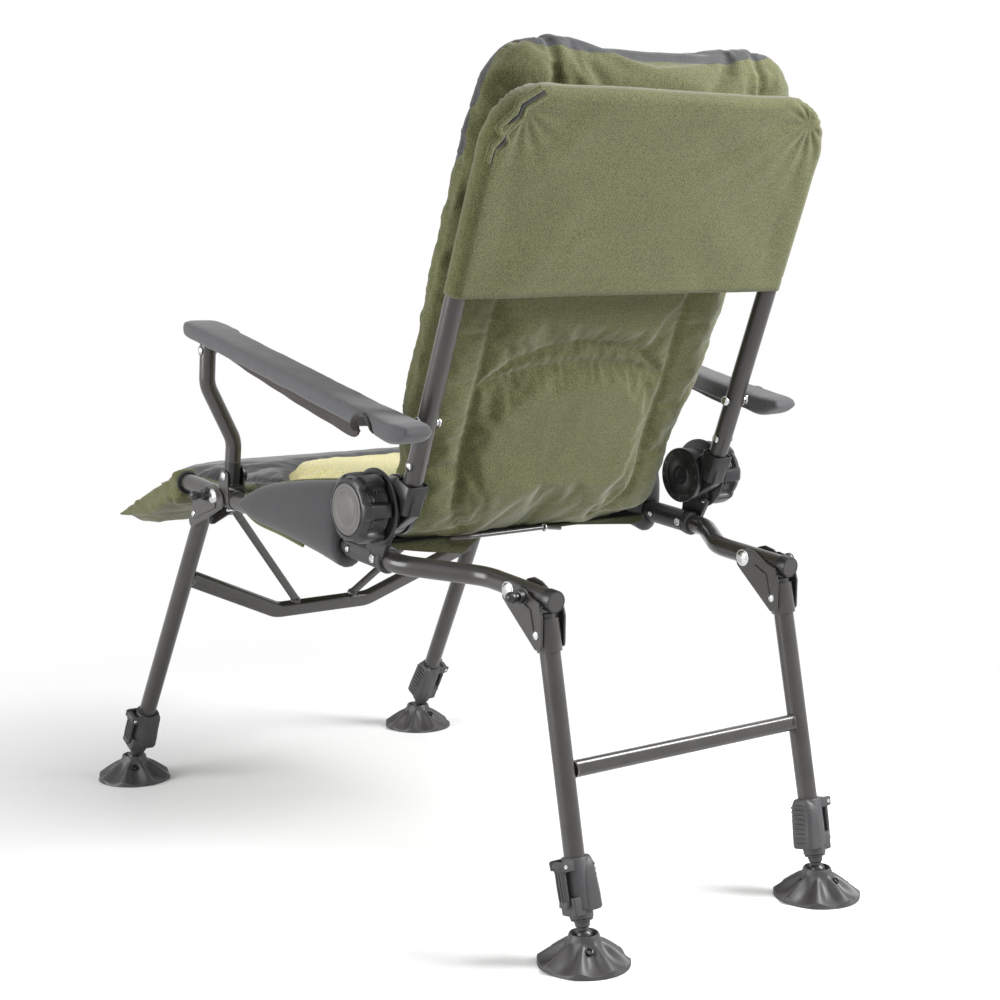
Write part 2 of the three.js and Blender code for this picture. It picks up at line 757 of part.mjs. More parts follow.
function saddle() {
  const web_top_share = 0.75;
  const over = tube_radius;
  const sleeve = tube_channel(saddle_from_y, saddle_to_y, saddle_radius);
  const lip = tube_channel(saddle_to_y - saddle_lip_length, saddle_to_y, saddle_lip_radius);
  const web = plate(
    [
      seat_point(0, recliner_y - saddle_web_before),
      seat_point(0, recliner_y + saddle_web_behind),
      vec(0, recliner_y + saddle_disc_radius * web_top_share, recliner_height),
      vec(0, recliner_y - saddle_disc_radius * web_top_share, recliner_height),
    ],
    saddle_disc_from_x,
    saddle_disc_to_x,
  );
  const disc = cross_rod(saddle_disc_from_x, saddle_disc_to_x, recliner_axis, saddle_disc_radius);
  const flange = cross_rod(saddle_disc_to_x - clear, flange_to_x, recliner_axis, flange_radius);
  const lug_at = (behind, rise) => vec(0, recliner_y + lug_behind + behind, recliner_height - lug_drop + rise);
  const lug = plate(
    [
      lug_at(0, -lug_half_height),
      lug_at(lug_length, -lug_half_height),
      lug_at(lug_length, lug_half_height),
      lug_at(0, lug_half_height),
    ],
    saddle_disc_from_x,
    saddle_disc_to_x,
  );
  const rivet_ys = [saddle_from_y + saddle_front_rivet_inset, saddle_to_y - saddle_rear_rivet_inset];
  const rivets = rivet_ys.map((y) =>
    rivet(
      seat_point(0, y),
      seat_half_spacing - saddle_radius + clear,
      seat_half_spacing + saddle_radius - clear,
      rivet_radius,
      rivet_height,
    ),
  );
  const bore = tube_channel(saddle_from_y - over, saddle_to_y + over * 2, tube_radius + clear);
  const bolt_hole_radius = knob_bolt_radius + play;
  const bolt_hole = cross_rod(saddle_disc_from_x - over, flange_to_x + over, recliner_axis, bolt_hole_radius);
  return joined(sleeve, lip, web, disc, flange, lug, ...rivets).subtract(joined(bore, bolt_hole));
}

// The star knob: lobes round a bolt that runs through flange, disc and arm
function knob() {
  const shape = new THREE.Shape();
  for (let lobe = 0; lobe < knob_lobe_count; lobe++) {
    for (let step = 0; step < knob_lobe_steps; step++) {
      const share = step / knob_lobe_steps;
      const angle = ((lobe + share) / knob_lobe_count) * 2 * Math.PI;
      const dip = Math.pow(Math.abs(Math.sin(share * Math.PI)), 3);
      const radius = knob_radius - knob_bevel - knob_lobe_depth * dip;
      const [y, z] = [radius * Math.cos(angle), radius * Math.sin(angle)];
      if (lobe + step) shape.lineTo(y, z);
      else shape.moveTo(y, z);
    }
  }
  const body = new THREE.ExtrudeGeometry(shape, {
    depth: knob_to_x - knob_from_x - 2 * knob_bevel,
    bevelThickness: knob_bevel,
    bevelSize: knob_bevel,
    bevelSegments: 1,
  });
  body.applyMatrix4(new THREE.Matrix4().makeBasis(y_axis, z_axis, x_axis));
  body.translate(knob_from_x + knob_bevel, recliner_y, recliner_height);
  const cap = cross_rod(knob_to_x - knob_bevel, knob_to_x + knob_cap_height, recliner_axis, knob_cap_radius);
  const bolt = cross_rod(knob_bolt_from_x, knob_from_x + knob_bevel, recliner_axis, knob_bolt_radius);
  return joined(to_solid(body), cap, bolt);
}

function recliner_arm() {
  const hub = cross_rod(hub_from_x, hub_to_x, recliner_axis, hub_radius);
  const tube_at = (up) => back_point(back_half_spacing, up, back_tube_behind);
  const block = (half_width, from_up, to_up, top) =>
    swept([tube_at(from_up), tube_at(to_up)], rounded_section(half_width, top), x_axis.clone());
  const socket = joined(
    block(socket_half_width - socket_step, socket_from_up, socket_to_up, socket_corner_radius),
    block(socket_half_width, socket_step_from_up, socket_to_up, socket_corner_radius),
  );
  const web = plate(
    [
      back_point(0, -hub_radius / 2, hub_radius / 2),
      back_point(0, socket_from_up, back_tube_behind + tube_radius),
      back_point(0, socket_to_up - socket_step, back_tube_behind - tube_radius),
      back_point(0, hub_radius - socket_step, 0),
    ],
    hub_from_x + socket_step,
    hub_to_x - socket_step,
  );
  const bore = rod(
    back_point(back_half_spacing, back_tube_from_up - clear, back_tube_behind),
    back_point(back_half_spacing, socket_to_up + tube_radius, back_tube_behind),
    tube_radius + clear,
    tube_sides,
  );
  const swing = cross_rod(saddle_disc_from_x - clear, flange_to_x, recliner_axis, saddle_disc_radius + play);
  const inner_swing = cross_rod(hub_disc_from_x, hub_from_x, recliner_axis, hub_disc_radius + play);
  const bolt_hole = cross_rod(hub_from_x - tube_radius, flange_to_x, recliner_axis, knob_bolt_radius + play);
  return joined(hub, socket, web).subtract(joined(bore, swing, inner_swing, bolt_hole));
}

function rounded_section(half_width, corner) {
  const steps = 2;
  const inner = half_width - corner;
  const points = [];
  [[1, 1], [-1, 1], [-1, -1], [1, -1]].forEach(([a, b], quarter) => {
    for (let s = 0; s <= steps; s++) {
      const angle = ((quarter + s / steps) * Math.PI) / 2;
      points.push([a * inner + corner * Math.cos(angle), b * inner + corner * Math.sin(angle)]);
    }
  });
  return points;
}

function hub_disc() {
  const groove_to_x = hub_disc_from_x + hub_disc_groove_depth;
  const core_to_x = groove_to_x + hub_disc_groove_depth;
  const groove = cross_rod(hub_disc_from_x - clear, groove_to_x, recliner_axis, hub_disc_step_radius).subtract(
    cross_rod(hub_disc_from_x - play, core_to_x, recliner_axis, hub_disc_groove_radius),
  );
  const disc = cross_rod(hub_disc_from_x, hub_from_x - clear, recliner_axis, hub_disc_radius);
  const bolt_hole = cross_rod(knob_bolt_from_x - play, hub_from_x, recliner_axis, knob_bolt_radius + play);
  return disc.subtract(joined(groove, bolt_hole));
}

// Back frame
const back_side_line = () => [
  back_point(back_half_spacing, back_tube_from_up, back_tube_behind),
  back_point(back_half_spacing, back_split_up, back_tube_behind),
];

function back_tube() {
  const wall = back_half_spacing;
  const rivets = rivet(
    back_point(0, back_rivet_up, back_tube_behind),
    wall - tube_radius,
    wall + tube_radius,
    rivet_radius,
    rivet_height,
  );
  const pin_hole = cross_rod(
    wall - 2 * tube_radius,
    wall + 2 * tube_radius,
    back_point(0, arm_pivot_up, back_tube_behind),
    arm_pin_radius + play,
  );
  return joined(tube(back_side_line(), tube_radius), rivets).subtract(pin_hole);
}

const back_top_line = () => {
  const at = (x, up) => back_point(x, up, back_tube_behind);
  return bent(
    [
      at(back_half_spacing, back_split_up + clear),
      at(back_half_spacing, back_top_up),
      at(-back_half_spacing, back_top_up),
      at(-back_half_spacing, back_split_up + clear),
    ],
    back_corner_radius,
  );
};

// Armrest
const post_pivot = vec(0, post_pivot_y, post_pivot_height);
const post_point = (x, lean, rise) => vec(x, post_pivot_y + lean, post_pivot_height + rise);
const post_top = post_point(arm_x, post_top_lean, post_top_rise);
const post_rivet = vec(0, post_top.y - post_rivet_before, post_top.z - post_rivet_drop);
const arm_pivot = back_point(0, arm_pivot_up, back_tube_behind);
const arm_over_post = vec(0, post_top.y, post_top.z + arm_bar_above_post);
const arm_along = arm_over_post.clone().sub(arm_pivot).normalize();
const arm_front = arm_over_post.clone().addScaledVector(arm_along, -arm_bar_before_post / arm_along.y);

function arm_post() {
  const foot = post_point(seat_half_spacing, -post_foot_lean, -post_foot_drop);
  const low_bend = post_point(seat_half_spacing, post_low_bend_lean, post_low_bend_rise);
  const high_bend = post_point(arm_x, post_high_bend_lean, post_high_bend_rise);
  const bar = tube(bent([foot, low_bend, high_bend, post_top], post_bend_radius), post_radius);
  const top_rivet = rivet(post_rivet, arm_x - post_radius, arm_x + post_radius, rivet_radius, rivet_height);
  const hole = cross_rod(
    seat_half_spacing - 2 * post_radius,
    seat_half_spacing + 2 * post_radius,
    post_pivot,
    leg_rivet_radius + play,
  );
  return joined(bar, top_rivet).subtract(hole);
}

// The strap round the seat tube: an ear on each side of the post, a thick boss inside, the rivet through both
function post_bracket() {
  const half_gap = post_radius + play;
  const outer = half_gap + strap_thickness;
  const half_length = strap_half_length;
  const center = seat_point(0, post_pivot_y);
  const boss_center = vec(0, post_pivot_y, post_pivot_height + strap_boss_rise);
  const ear = (from_x, to_x) => {
    const top = vec(0, post_pivot_y, post_pivot_height + strap_ear_rise - half_length);
    const foot = plate(
      [
        center.clone().add(vec(0, -half_length, 0)),
        center.clone().add(vec(0, half_length, 0)),
        top.clone().add(vec(0, half_length, 0)),
        top.clone().add(vec(0, -half_length, 0)),
      ],
      from_x,
      to_x,
    );
    return joined(cross_rod(from_x, to_x, top, half_length, round_sides), foot);
  };
  const [strap_from_y, strap_to_y] = [post_pivot_y - half_length, post_pivot_y + half_length];
  const wrap = tube_channel(strap_from_y, strap_to_y, tube_radius + clear + strap_wrap_thickness);
  const outer_ear = ear(seat_half_spacing + half_gap, seat_half_spacing + outer);
  const inner_ear = ear(seat_half_spacing - outer, seat_half_spacing - half_gap);
  const boss_from = seat_half_spacing - half_gap - strap_boss_thickness;
  const boss = cross_rod(boss_from, seat_half_spacing - half_gap, boss_center, half_length, round_sides);
  const pin = rivet(post_pivot, boss_from, seat_half_spacing + outer, rivet_radius, rivet_height);
  const shank = cross_rod(seat_half_spacing - outer, seat_half_spacing + outer, post_pivot, leg_rivet_radius);
  const over = 2 * tube_radius;
  const bore = tube_channel(strap_from_y - over, strap_to_y + over, tube_radius + clear);
  return joined(wrap, outer_ear, inner_ear, boss, pin, shank).subtract(bore);
}

// The flat bar inside the arm pad with the pin that turns in the back tube
function arm_bar(grow = 0) {
  const line = [
    arm_front.clone().addScaledVector(arm_along, grow),
    arm_pivot.clone().addScaledVector(arm_along, -arm_bar_behind_pivot - grow),
  ];
  const half_width = arm_bar_half_width + grow;
  const half_height = arm_bar_half_height + grow;
  const bar = swept(line, box_section(half_width, half_height), x_axis.clone());
  const boss = cross_rod(arm_boss_from_x - grow, arm_x, arm_pivot, arm_boss_radius + grow);
  const pin = cross_rod(arm_pin_from_x, arm_x, arm_pivot, arm_pin_radius + grow);
  const head = turned(vec(arm_pin_from_x, arm_pivot.y, arm_pivot.z), x_axis.clone().negate(), [
    [-clear, arm_pin_head_radius],
    [arm_pin_head_length / 2, arm_pin_head_radius],
    [arm_pin_head_length, arm_pin_head_radius / 2],
  ], small_sides);
  return joined(bar.translate([arm_x, 0, 0]), boss, pin, head);
}

// The pad: rounded stations along y, hollowed for the bar, slotted for the post, with the hole near the rear
function arm_pad() {
  const front_y = arm_front.y - pad_before_bar;
  const pad_length = arm_pivot.y + pad_behind_pivot - front_y;
  const bar_height = (y) => arm_front.z + ((y - arm_front.y) * arm_along.z) / arm_along.y;
  const stations = pad_station_shares.map(([along, below, above, wide]) => {
    const y = front_y + along * pad_length;
    const low = bar_height(y) - below * pad_half_height;
    const high = bar_height(y) + above * pad_half_height;
    return { y, low, high, half_width: wide * pad_half_width };
  });
  const rings = stations.map(({ y, low, high, half_width }) =>
    superellipse(pad_ring_steps, pad_square_share).map(([a, b]) =>
      vec(arm_x + a * half_width, y, (low + high) / 2 + (b * (high - low)) / 2),
    ),
  );
  const body = loft(rings);
  const low_at = (y) => {
    const next = stations.findIndex((station) => station.y > y);
    const [a, b] = [stations[next - 1], stations[next]];
    return a.low + ((b.low - a.low) * (y - a.y)) / (b.y - a.y);
  };
  const slot_from_y = post_top.y - pad_slot_before_post;
  const slot_to_y = post_top.y + pad_slot_behind_post;
  const slot_line = (drop) => [
    vec(0, slot_from_y, bar_height(slot_from_y) - drop),
    vec(0, slot_to_y, bar_height(slot_to_y) - drop),
  ];
  const pad_slot_half_width = post_radius + pad_slot_gap;
  const slot = plate(
    [...slot_line(2 * pad_half_height), ...slot_line(pad_slot_below_bar).reverse()],
    arm_x - pad_slot_half_width,
    arm_x + pad_slot_half_width,
  );
  const hole_y = front_y + pad_hole_from_front;
  const hole_at = vec(0, hole_y, low_at(hole_y));
  const hole = cross_rod(
    arm_x + pad_slot_half_width,
    arm_x + 2 * pad_slot_half_width + pad_hole_depth,
    hole_at,
    pad_hole_radius,
  );
  return body.subtract(joined(arm_bar(play), slot, hole));
}

function superellipse(steps, square_share) {
  return Array.from({ length: steps }, (_, i) => {
    const angle = ((i + 1 / 2) * 2 * Math.PI) / steps;
    const [c, s] = [Math.cos(angle), Math.sin(angle)];
    const bulge = (t) => Math.sign(t) * Math.pow(Math.abs(t), square_share);
    return [bulge(c), bulge(s)];
  });
}

// Front legs
const at_x_zero = (point) => vec(0, point.y, point.z);
const front_lock = at_x_zero(seat_point(0, -front_lock_before_hinge));
const rear_lock = at_x_zero(seat_point(0, rear_lock_y));

// A leg's two bracket plates with the holes for hinge and lock pin, the leg rivet and the lock pin's collar
function leg_bracket([outline, length, width], to_point, x, gap, hinge, lock, rivet_point) {
  const points = outline.map(([down, out]) => to_point(0, down * length, out * width));
  const outer = gap + plate_thickness;
  const plates = joined(plate(points, x + gap, x + outer), plate(points, x - outer, x - gap));
  const collar_to_x = x + outer + lock_collar_height;
  const collar = cross_rod(x + outer - clear, collar_to_x, lock, lock_collar_radius, small_sides);
  const through = rivet(rivet_point, x - outer, x + outer, rivet_radius, rivet_height);
  const shank = cross_rod(x - outer, x + outer, rivet_point, leg_rivet_radius);
  const hinge_hole = cross_rod(x - 2 * outer, x + 2 * outer, hinge, hinge_rivet_radius);
  const lock_hole = cross_rod(x + gap - play, x + 2 * outer + lock_collar_height, lock, lock_pin_radius + play);
  return joined(plates, collar, through, shank).subtract(joined(hinge_hole, lock_hole));
}

function leg_tube(to_point, top, ball_down) {
  const foot = ball_down - clamp_top_above_ball + clamp_height - play;
  const bar = tube([to_point(top), to_point(foot)], tube_radius);
  const bore = tube([to_point(top + 2 * tube_radius), to_point(ball_down)], inner_radius + play);
  return [bar, bore];
}

function front_leg() {
  const [bar, bore] = leg_tube(front_axis_point, front_leg_top, front_ball_down);
  const bracket = leg_bracket(
    [front_plate_shares, front_plate_length, front_plate_width],
    front_point,
    seat_half_spacing,
    front_plate_gap,
    seat_point(0, 0),
    front_lock,
    front_point(0, leg_rivet_down, front_leg_out),
  );
  return joined(bar, bracket).subtract(bore);
}

function rear_leg() {
  const [bar, bore] = leg_tube(rear_axis_point, rear_leg_top, rear_ball_down);
  const sleeve = tube([rear_axis_point(rear_sleeve_from), rear_axis_point(rear_sleeve_to)], rear_sleeve_radius);
  const bracket = leg_bracket(
    [rear_plate_shares, rear_plate_length, rear_plate_width],
    rear_point,
    rear_tube_half_spacing,
    rear_plate_gap,
    rear_hinge,
    rear_lock,
    rear_point(0, leg_rivet_down, rear_leg_out),
  );
  return joined(bar, sleeve, bracket).subtract(bore);
}

function front_cross_bar() {
  const at = (x, down) => front_point(x, down, front_leg_out);
  const end = front_leg_x(brace_leg_down);
  const half = (side) => [at(side * end, brace_leg_down), at(side * brace_bend_x, brace_bend_down)];
  const line = bent([...half(1), ...half(-1).reverse()], brace_bend_radius);
  const out = at(0, 0).sub(front_point(0, 0, 0)).normalize();
  const bar = swept(line, flat_oval(brace_thickness / 2, brace_height / 2), out);
  const legs = [1, -1].map((side) => {
    const leg = tube([front_axis_point(front_leg_top), front_axis_point(front_ball_down)], tube_radius + clear);
    return side > 0 ? leg : leg.mirror([1, 0, 0]);
  });
  return bar.subtract(joined(...legs));
}

function flat_oval(half_width, half_height) {
  const corner_share = 0.6;
  const corner = half_width * corner_share;
  const steps = 2;
  const points = [];
  [[1, 1], [-1, 1], [-1, -1], [1, -1]].forEach(([a, b], quarter) => {
    for (let s = 0; s <= steps; s++) {
      const angle = ((quarter + s / steps) * Math.PI) / 2;
      points.push([
        a * (half_width - corner) + corner * Math.cos(angle),
        b * (half_height - corner) + corner * Math.sin(angle),
      ]);
    }
  });
  return points;
}

// The thin strut from the bracket's inner plate down to the cross bar
function front_strut() {
  const plate_x = seat_half_spacing - front_plate_gap - plate_thickness - clear;
  const low = front_point(strut_low_x, strut_low_down, front_leg_out);
  const top = front_point(plate_x - strut_half_width, strut_top_down, strut_top_out);
  const out = front_point(0, 0, 1).sub(front_point(0, 0, 0));
  const bar = swept([low, top], flat_oval(strut_half_thickness, strut_half_width), out);
  const grown_bar = swept(
    [
      front_point(brace_bend_x * 2, brace_bend_down, front_leg_out),
      front_point(-brace_bend_x * 2, brace_bend_down, front_leg_out),
    ],
    box_section(brace_thickness, brace_height / 2 + clear),
    out.clone(),
  );
  return bar.subtract(grown_bar);
}

function rear_cross_bar() {
  const x = rear_leg_x(rear_bar_down) - tube_radius - clear;
  const at = (side) => rear_point(side * x, rear_bar_down, rear_leg_out);
  const out = rear_point(0, 0, 1).sub(rear_point(0, 0, 0));
  return swept([at(1), at(-1)], flat_oval(rear_bar_thickness / 2, rear_bar_height / 2), out);
}

function lock_pin(at, x, gap) {
  const tip = x + tube_radius + clear;
  const ball = vec(x + lock_ball_reach, at.y, at.z);
  const head_share = 0.7;
  const head = turned(ball, x_axis, [
    [-lock_ball_radius, lock_ball_radius / 2],
    [-lock_ball_radius * (1 - head_share), lock_ball_radius],
    [lock_ball_radius * (1 - head_share), lock_ball_radius],
    [lock_ball_radius * head_share, lock_ball_radius * head_share],
    [lock_ball_radius, lock_ball_radius / 4],
  ], small_sides);
  return joined(cross_rod(tip, ball.x, at, lock_pin_radius, small_sides), head);
}

// Leg ends, built up the leg from the ball: u along the leg upwards, outer towards the chair's outer side
function leg_end_frame(axis_point, ball_down) {
  const ball = axis_point(ball_down);
  const up = axis_point(0).sub(ball).normalize();
  const outer = x_axis.clone().addScaledVector(up, -up.x).normalize();
  const rear = up.clone().cross(outer);
  return { ball, up, outer, rear };
}

const frame_point = (frame, up, outer = 0, rear = 0) =>
  frame.ball
    .clone()
    .addScaledVector(frame.up, up)
    .addScaledVector(frame.outer, outer)
    .addScaledVector(frame.rear, rear);

// A block in a leg end's frame, given by its middle and half lengths up, outer and rear
function frame_block(frame, up, outer, rear, half_up, half_outer, half_rear) {
  return swept(
    [frame_point(frame, up - half_up, outer, rear), frame_point(frame, up + half_up, outer, rear)],
    box_section(half_outer, half_rear),
    frame.outer.clone(),
  );
}

const clamp_top = clamp_top_above_ball;
const clamp_bottom = clamp_top_above_ball - clamp_height;
const lever_pivot_up = clamp_top - lever_pivot_down;

function clamp(frame) {
  const shoulder = clamp_bottom + clamp_height * clamp_foot_share;
  const body = turned(frame_point(frame, 0), frame.up, [
    [clamp_bottom, clamp_foot_radius],
    [shoulder, clamp_foot_radius],
    [shoulder + clamp_foot_radius - clamp_rib_radius * 2, clamp_radius],
    [clamp_top - clamp_rib_depth, clamp_radius],
    [clamp_top, clamp_radius - clamp_rib_depth],
  ], round_sides);
  const foot_block = frame_block(
    frame,
    (clamp_bottom + shoulder) / 2,
    0,
    0,
    (shoulder - clamp_bottom) / 2,
    clamp_foot_radius,
    clamp_foot_radius,
  );
  const lug = (rear) =>
    joined(
      frame_block(
        frame,
        lever_pivot_up,
        lever_pivot_out / 2,
        rear,
        lever_boss_radius,
        lever_pivot_out / 2,
        plate_thickness / 2,
      ),
      rod(
        frame_point(frame, lever_pivot_up, lever_pivot_out, rear - plate_thickness / 2),
        frame_point(frame, lever_pivot_up, lever_pivot_out, rear + plate_thickness / 2),
        lever_boss_radius,
        small_sides,
      ),
    );
  const lug_at = lever_half_width + plate_thickness / 2 + play;
  const rib_span = clamp_top - shoulder - 2 * clamp_foot_radius;
  const first_rib = shoulder + clamp_foot_radius + clamp_rib_radius;
  const ribs = Array.from({ length: clamp_rib_count }, (_, i) => {
    const up = first_rib + (i * rib_span) / (clamp_rib_count - 1);
    return rod(
      frame_point(frame, up, -clamp_radius + clamp_rib_radius - clamp_rib_depth, -clamp_lug_half_width),
      frame_point(frame, up, -clamp_radius + clamp_rib_radius - clamp_rib_depth, clamp_lug_half_width),
      clamp_rib_radius,
      small_sides,
    );
  });
  const pin = rod(
    frame_point(frame, lever_pivot_up, lever_pivot_out, -lug_at),
    frame_point(frame, lever_pivot_up, lever_pivot_out, lug_at),
    lever_pivot_radius / 2,
    small_sides,
  );
  const bore = rod(
    frame_point(frame, clamp_bottom - tube_radius),
    frame_point(frame, clamp_bottom + clamp_height * clamp_foot_share + clear),
    inner_radius + play,
    tube_sides,
  );
  const leg_bore = rod(
    frame_point(frame, clamp_bottom + clear),
    frame_point(frame, clamp_top + tube_radius),
    tube_radius + clear,
    tube_sides,
  );
  return joined(body, foot_block, lug(lug_at), lug(-lug_at), ...ribs, pin).subtract(joined(bore, leg_bore));
}

// The lever lies along the clamp's outer side and swings outwards about its top end
function clamp_lever(frame) {
  const inner = clamp_radius + play;
  const middle = inner + lever_thickness / 2;
  const bar = frame_block(
    frame,
    lever_pivot_up - lever_length / 2,
    middle,
    0,
    lever_length / 2,
    lever_thickness / 2,
    lever_half_width,
  );
  const boss = rod(
    frame_point(frame, lever_pivot_up, lever_pivot_out, -lever_half_width),
    frame_point(frame, lever_pivot_up, lever_pivot_out, lever_half_width),
    lever_pivot_radius + play,
    small_sides,
  );
  const tip = rod(
    frame_point(frame, lever_pivot_up - lever_length, middle, -lever_half_width),
    frame_point(frame, lever_pivot_up - lever_length, middle, lever_half_width),
    lever_thickness / 2 + play,
    small_sides,
  );
  const hole = rod(
    frame_point(frame, lever_pivot_up, lever_pivot_out, -2 * lever_half_width),
    frame_point(frame, lever_pivot_up, lever_pivot_out, 2 * lever_half_width),
    lever_pivot_radius / 2 + play,
    small_sides,
  );
  return joined(bar, boss, tip).subtract(hole);
}

function inner_leg(frame) {
  return joined(
    turned(frame_point(frame, 0), frame.up, [
      [0, stud_radius],
      [stud_to, stud_radius],
      [stud_to + clear, inner_radius],
      [collar_from, inner_radius],
      [collar_from + clear, collar_radius],
      [collar_to, collar_radius],
      [collar_to + clear, inner_radius],
      [inner_top_above_ball, inner_radius],
    ]),
    turned(frame.ball, z_axis, ball_profile(0)),
  );
}

function ball_profile(grow) {
  const steps = 5;
  return Array.from({ length: steps + 1 }, (_, i) => {
    const angle = (-1 / 2 + (i + 1 / 2) / (steps + 1)) * Math.PI;
    return [(ball_radius + grow) * Math.sin(angle), (ball_radius + grow) * Math.cos(angle)];
  });
}

// The foot: a corrugated cone with a cup for the ball, hollow below
function foot(frame) {
  const sides = foot_wave_count * foot_wave_steps;
  const ring = (radius, height, wave) =>
    Array.from({ length: sides }, (_, i) => {
      const angle = (i * 2 * Math.PI) / sides;
      const ripple = wave * (1 + Math.cos(angle * foot_wave_count)) / 2;
      return vec(
        frame.ball.x + radius * Math.cos(angle),
        frame.ball.y + radius * Math.sin(angle),
        height + ripple,
      );
    });
  const shares = [1, 0.72, 0.48];
  const heights = shares.map((share) => foot_edge + (1 - share) * foot_top * share);
  const outer = loft([
    ring(foot_radius, 0, 0),
    ring(foot_radius, foot_edge, foot_wave_height),
    ring(foot_radius * shares[1], heights[1], foot_wave_height),
    ring(foot_radius * shares[2], heights[2], foot_wave_height / 2),
    ring(foot_neck_radius, foot_top - foot_shell, 0),
    ring(foot_neck_radius - foot_edge / 2, foot_top, 0),
  ]);
  const cup = turned(frame.ball, z_axis, ball_profile(socket_cup_clear));
  const mouth = turned(frame.ball, z_axis, [
    [0, ball_radius + socket_cup_clear],
    [foot_top - ball_height, foot_mouth_radius],
    [foot_top, foot_mouth_radius + foot_top],
  ]);
  return outer.subtract(joined(cup, mouth));
}

// The sling's line from its front to its rear, and its upper side
const sling_front_height = seat_line_height(sling_from_y) - sling_front_drop;
const sling_rear_height = seat_line_height(sling_to_y) + sling_rear_rise;
function sling_top(y) {
  const slope = (sling_rear_height - sling_front_height) / (sling_to_y - sling_from_y);
  return sling_front_height + slope * (y - sling_from_y) + sling_thickness / 2;
}

// Seat cushion: a crowned pad between the tubes with a bolster over each tube
function seat_cushion() {
  const half = Math.floor(cushion_ring_steps / 2);
  const nose_drop = Math.tan(seat_front_angle);
  const upper = (line, ...shares) => shares.map((share) => line + share * cushion_thickness);
  const nose = nose_station_shares.map(([along, low_share, top_share, edge_share]) => {
    const ahead = along * seat_front_reach;
    const line = front_bend.z - ahead * nose_drop;
    const low = line + low_share * flap_height;
    return [seat_front_bend_y - ahead, low, ...upper(line, top_share, edge_share)];
  });
  const flat = seat_station_shares.map(([along, low_share, top_share, edge_share]) => {
    const y = seat_front_bend_y + along * cushion_length;
    const line = seat_line_height(y);
    const low = sling_top(y) + cushion_rest_gap + low_share * cushion_thickness;
    return [y, low, ...upper(line, top_share, edge_share)];
  });
  const pad = loft(
    [...nose, ...flat].map(([y, low, top, edge]) => {
      return Array.from({ length: cushion_ring_steps }, (_, i) => {
        const share = i < half ? i / (half - 1) : (cushion_ring_steps - 1 - i) / (half - 1);
        const across = Math.cos(share * Math.PI);
        const fall = 1 - Math.pow(Math.abs(across), 1 / cushion_crown_share);
        const rim = (edge - low) / 8;
        const height = i < half ? edge + rim + (top - edge) * fall : edge - rim - (edge - low - rim) * fall;
        return vec(cushion_half_width * across, y, height);
      });
    }),
  );
  const inner_x = seat_half_spacing - bolster_inner_gap;
  const bolster = loft(
    bolster_station_shares.map(([along, low_share, top_share, out_share]) => {
      const y = cushion_end_y - bolster_length * (1 - along);
      const low = seat_line_height(y) + low_share * cushion_thickness;
      const top = seat_line_height(y) + top_share * cushion_thickness;
      const outer_x = seat_half_spacing + out_share * bolster_reach;
      return superellipse(bolster_ring_steps, bolster_square_share).map(([a, b]) =>
        vec(
          (outer_x + inner_x) / 2 + (a * (outer_x - inner_x)) / 2,
          y,
          (low + top) / 2 + (b * (top - low)) / 2,
        ),
      );
    }),
  );
  const over = 2 * tube_radius;
  const from_y = cushion_end_y - bolster_length - over;
  const channel = joined(
    tube_channel(from_y, saddle_from_y + over, tube_radius + play),
    swept(
      [seat_point(seat_half_spacing, from_y, -over), seat_point(seat_half_spacing, saddle_from_y + over, -over)],
      box_section(tube_radius + play, over),
      x_axis.clone(),
    ),
  );
  const left = bolster.subtract(channel);
  return joined(pad, left, left.mirror([1, 0, 0]));
}

// The flap: a flat sleeve of cloth over the front bar, cut open to the rear for the tubes
function front_flap() {
  const edge_share = 0.9;
  const above = vec(0, -Math.sin(seat_front_angle), Math.cos(seat_front_angle));
  const at = (x, outline, share) => {
    const points = outline.map(([along_share, above_share]) =>
      down_front(x, along_share * seat_front_reach).addScaledVector(above, above_share * flap_height),
    );
    const middle = points.reduce((total, p) => total.add(p), vec(0, 0, 0)).divideScalar(points.length);
    return points.map((p) => p.sub(middle).multiplyScalar(share).add(middle));
  };
  const half = [
    [seat_half_spacing + flap_overhang, flap_side_shares, edge_share],
    [seat_half_spacing + flap_overhang - flap_edge, flap_side_shares, 1],
    [seat_half_spacing - flap_side_inset, flap_side_shares, 1],
    [seat_half_spacing - flap_middle_inset, flap_middle_shares, 1],
  ];
  const other_half = half.toReversed().map(([x, outline, share]) => [-x, outline, share]);
  const body = loft([...half, ...other_half].map((station) => at(...station)));
  const grown = tube_radius + play;
  const entry = bent(
    [seat_point(seat_half_spacing, 0), front_bend, down_front(seat_half_spacing, seat_front_split + tube_radius)],
    seat_front_bend_radius,
  );
  const entry_cut = tube(entry, grown);
  return body.subtract(joined(tube(front_bar(), grown), entry_cut, entry_cut.mirror([1, 0, 0])));
}

// The sling: a sheet below the seat cushion with a hem that hangs down at the rear
function seat_sling() {
  const sheet = swept(
    [vec(0, sling_from_y, sling_front_height), vec(0, sling_to_y, sling_rear_height)],
    box_section(sling_half_width, sling_thickness / 2),
    x_axis.clone(),
  );
  const shape = new THREE.Shape(
    sling_hem_shares.map(([across, up]) => new THREE.Vector2(across * sling_half_width, up * sling_hem_depth)),
  );
  const hem = new THREE.ExtrudeGeometry(shape, { depth: sling_hem_thickness, bevelEnabled: false });
  hem.applyMatrix4(new THREE.Matrix4().makeBasis(x_axis, z_axis, y_axis.clone().negate()));
  hem.translate(0, sling_to_y, sling_rear_height);
  return joined(sheet, to_solid(hem));
}

function sling_strap() {
  const line = strap_rod_shares.map(([across, behind, above]) =>
    vec(
      across * sling_half_width,
      sling_to_y + behind * strap_rod_reach,
      sling_rear_height + above * strap_rod_radius,
    ),
  );
  return tube(line, strap_rod_radius, small_sides);
}

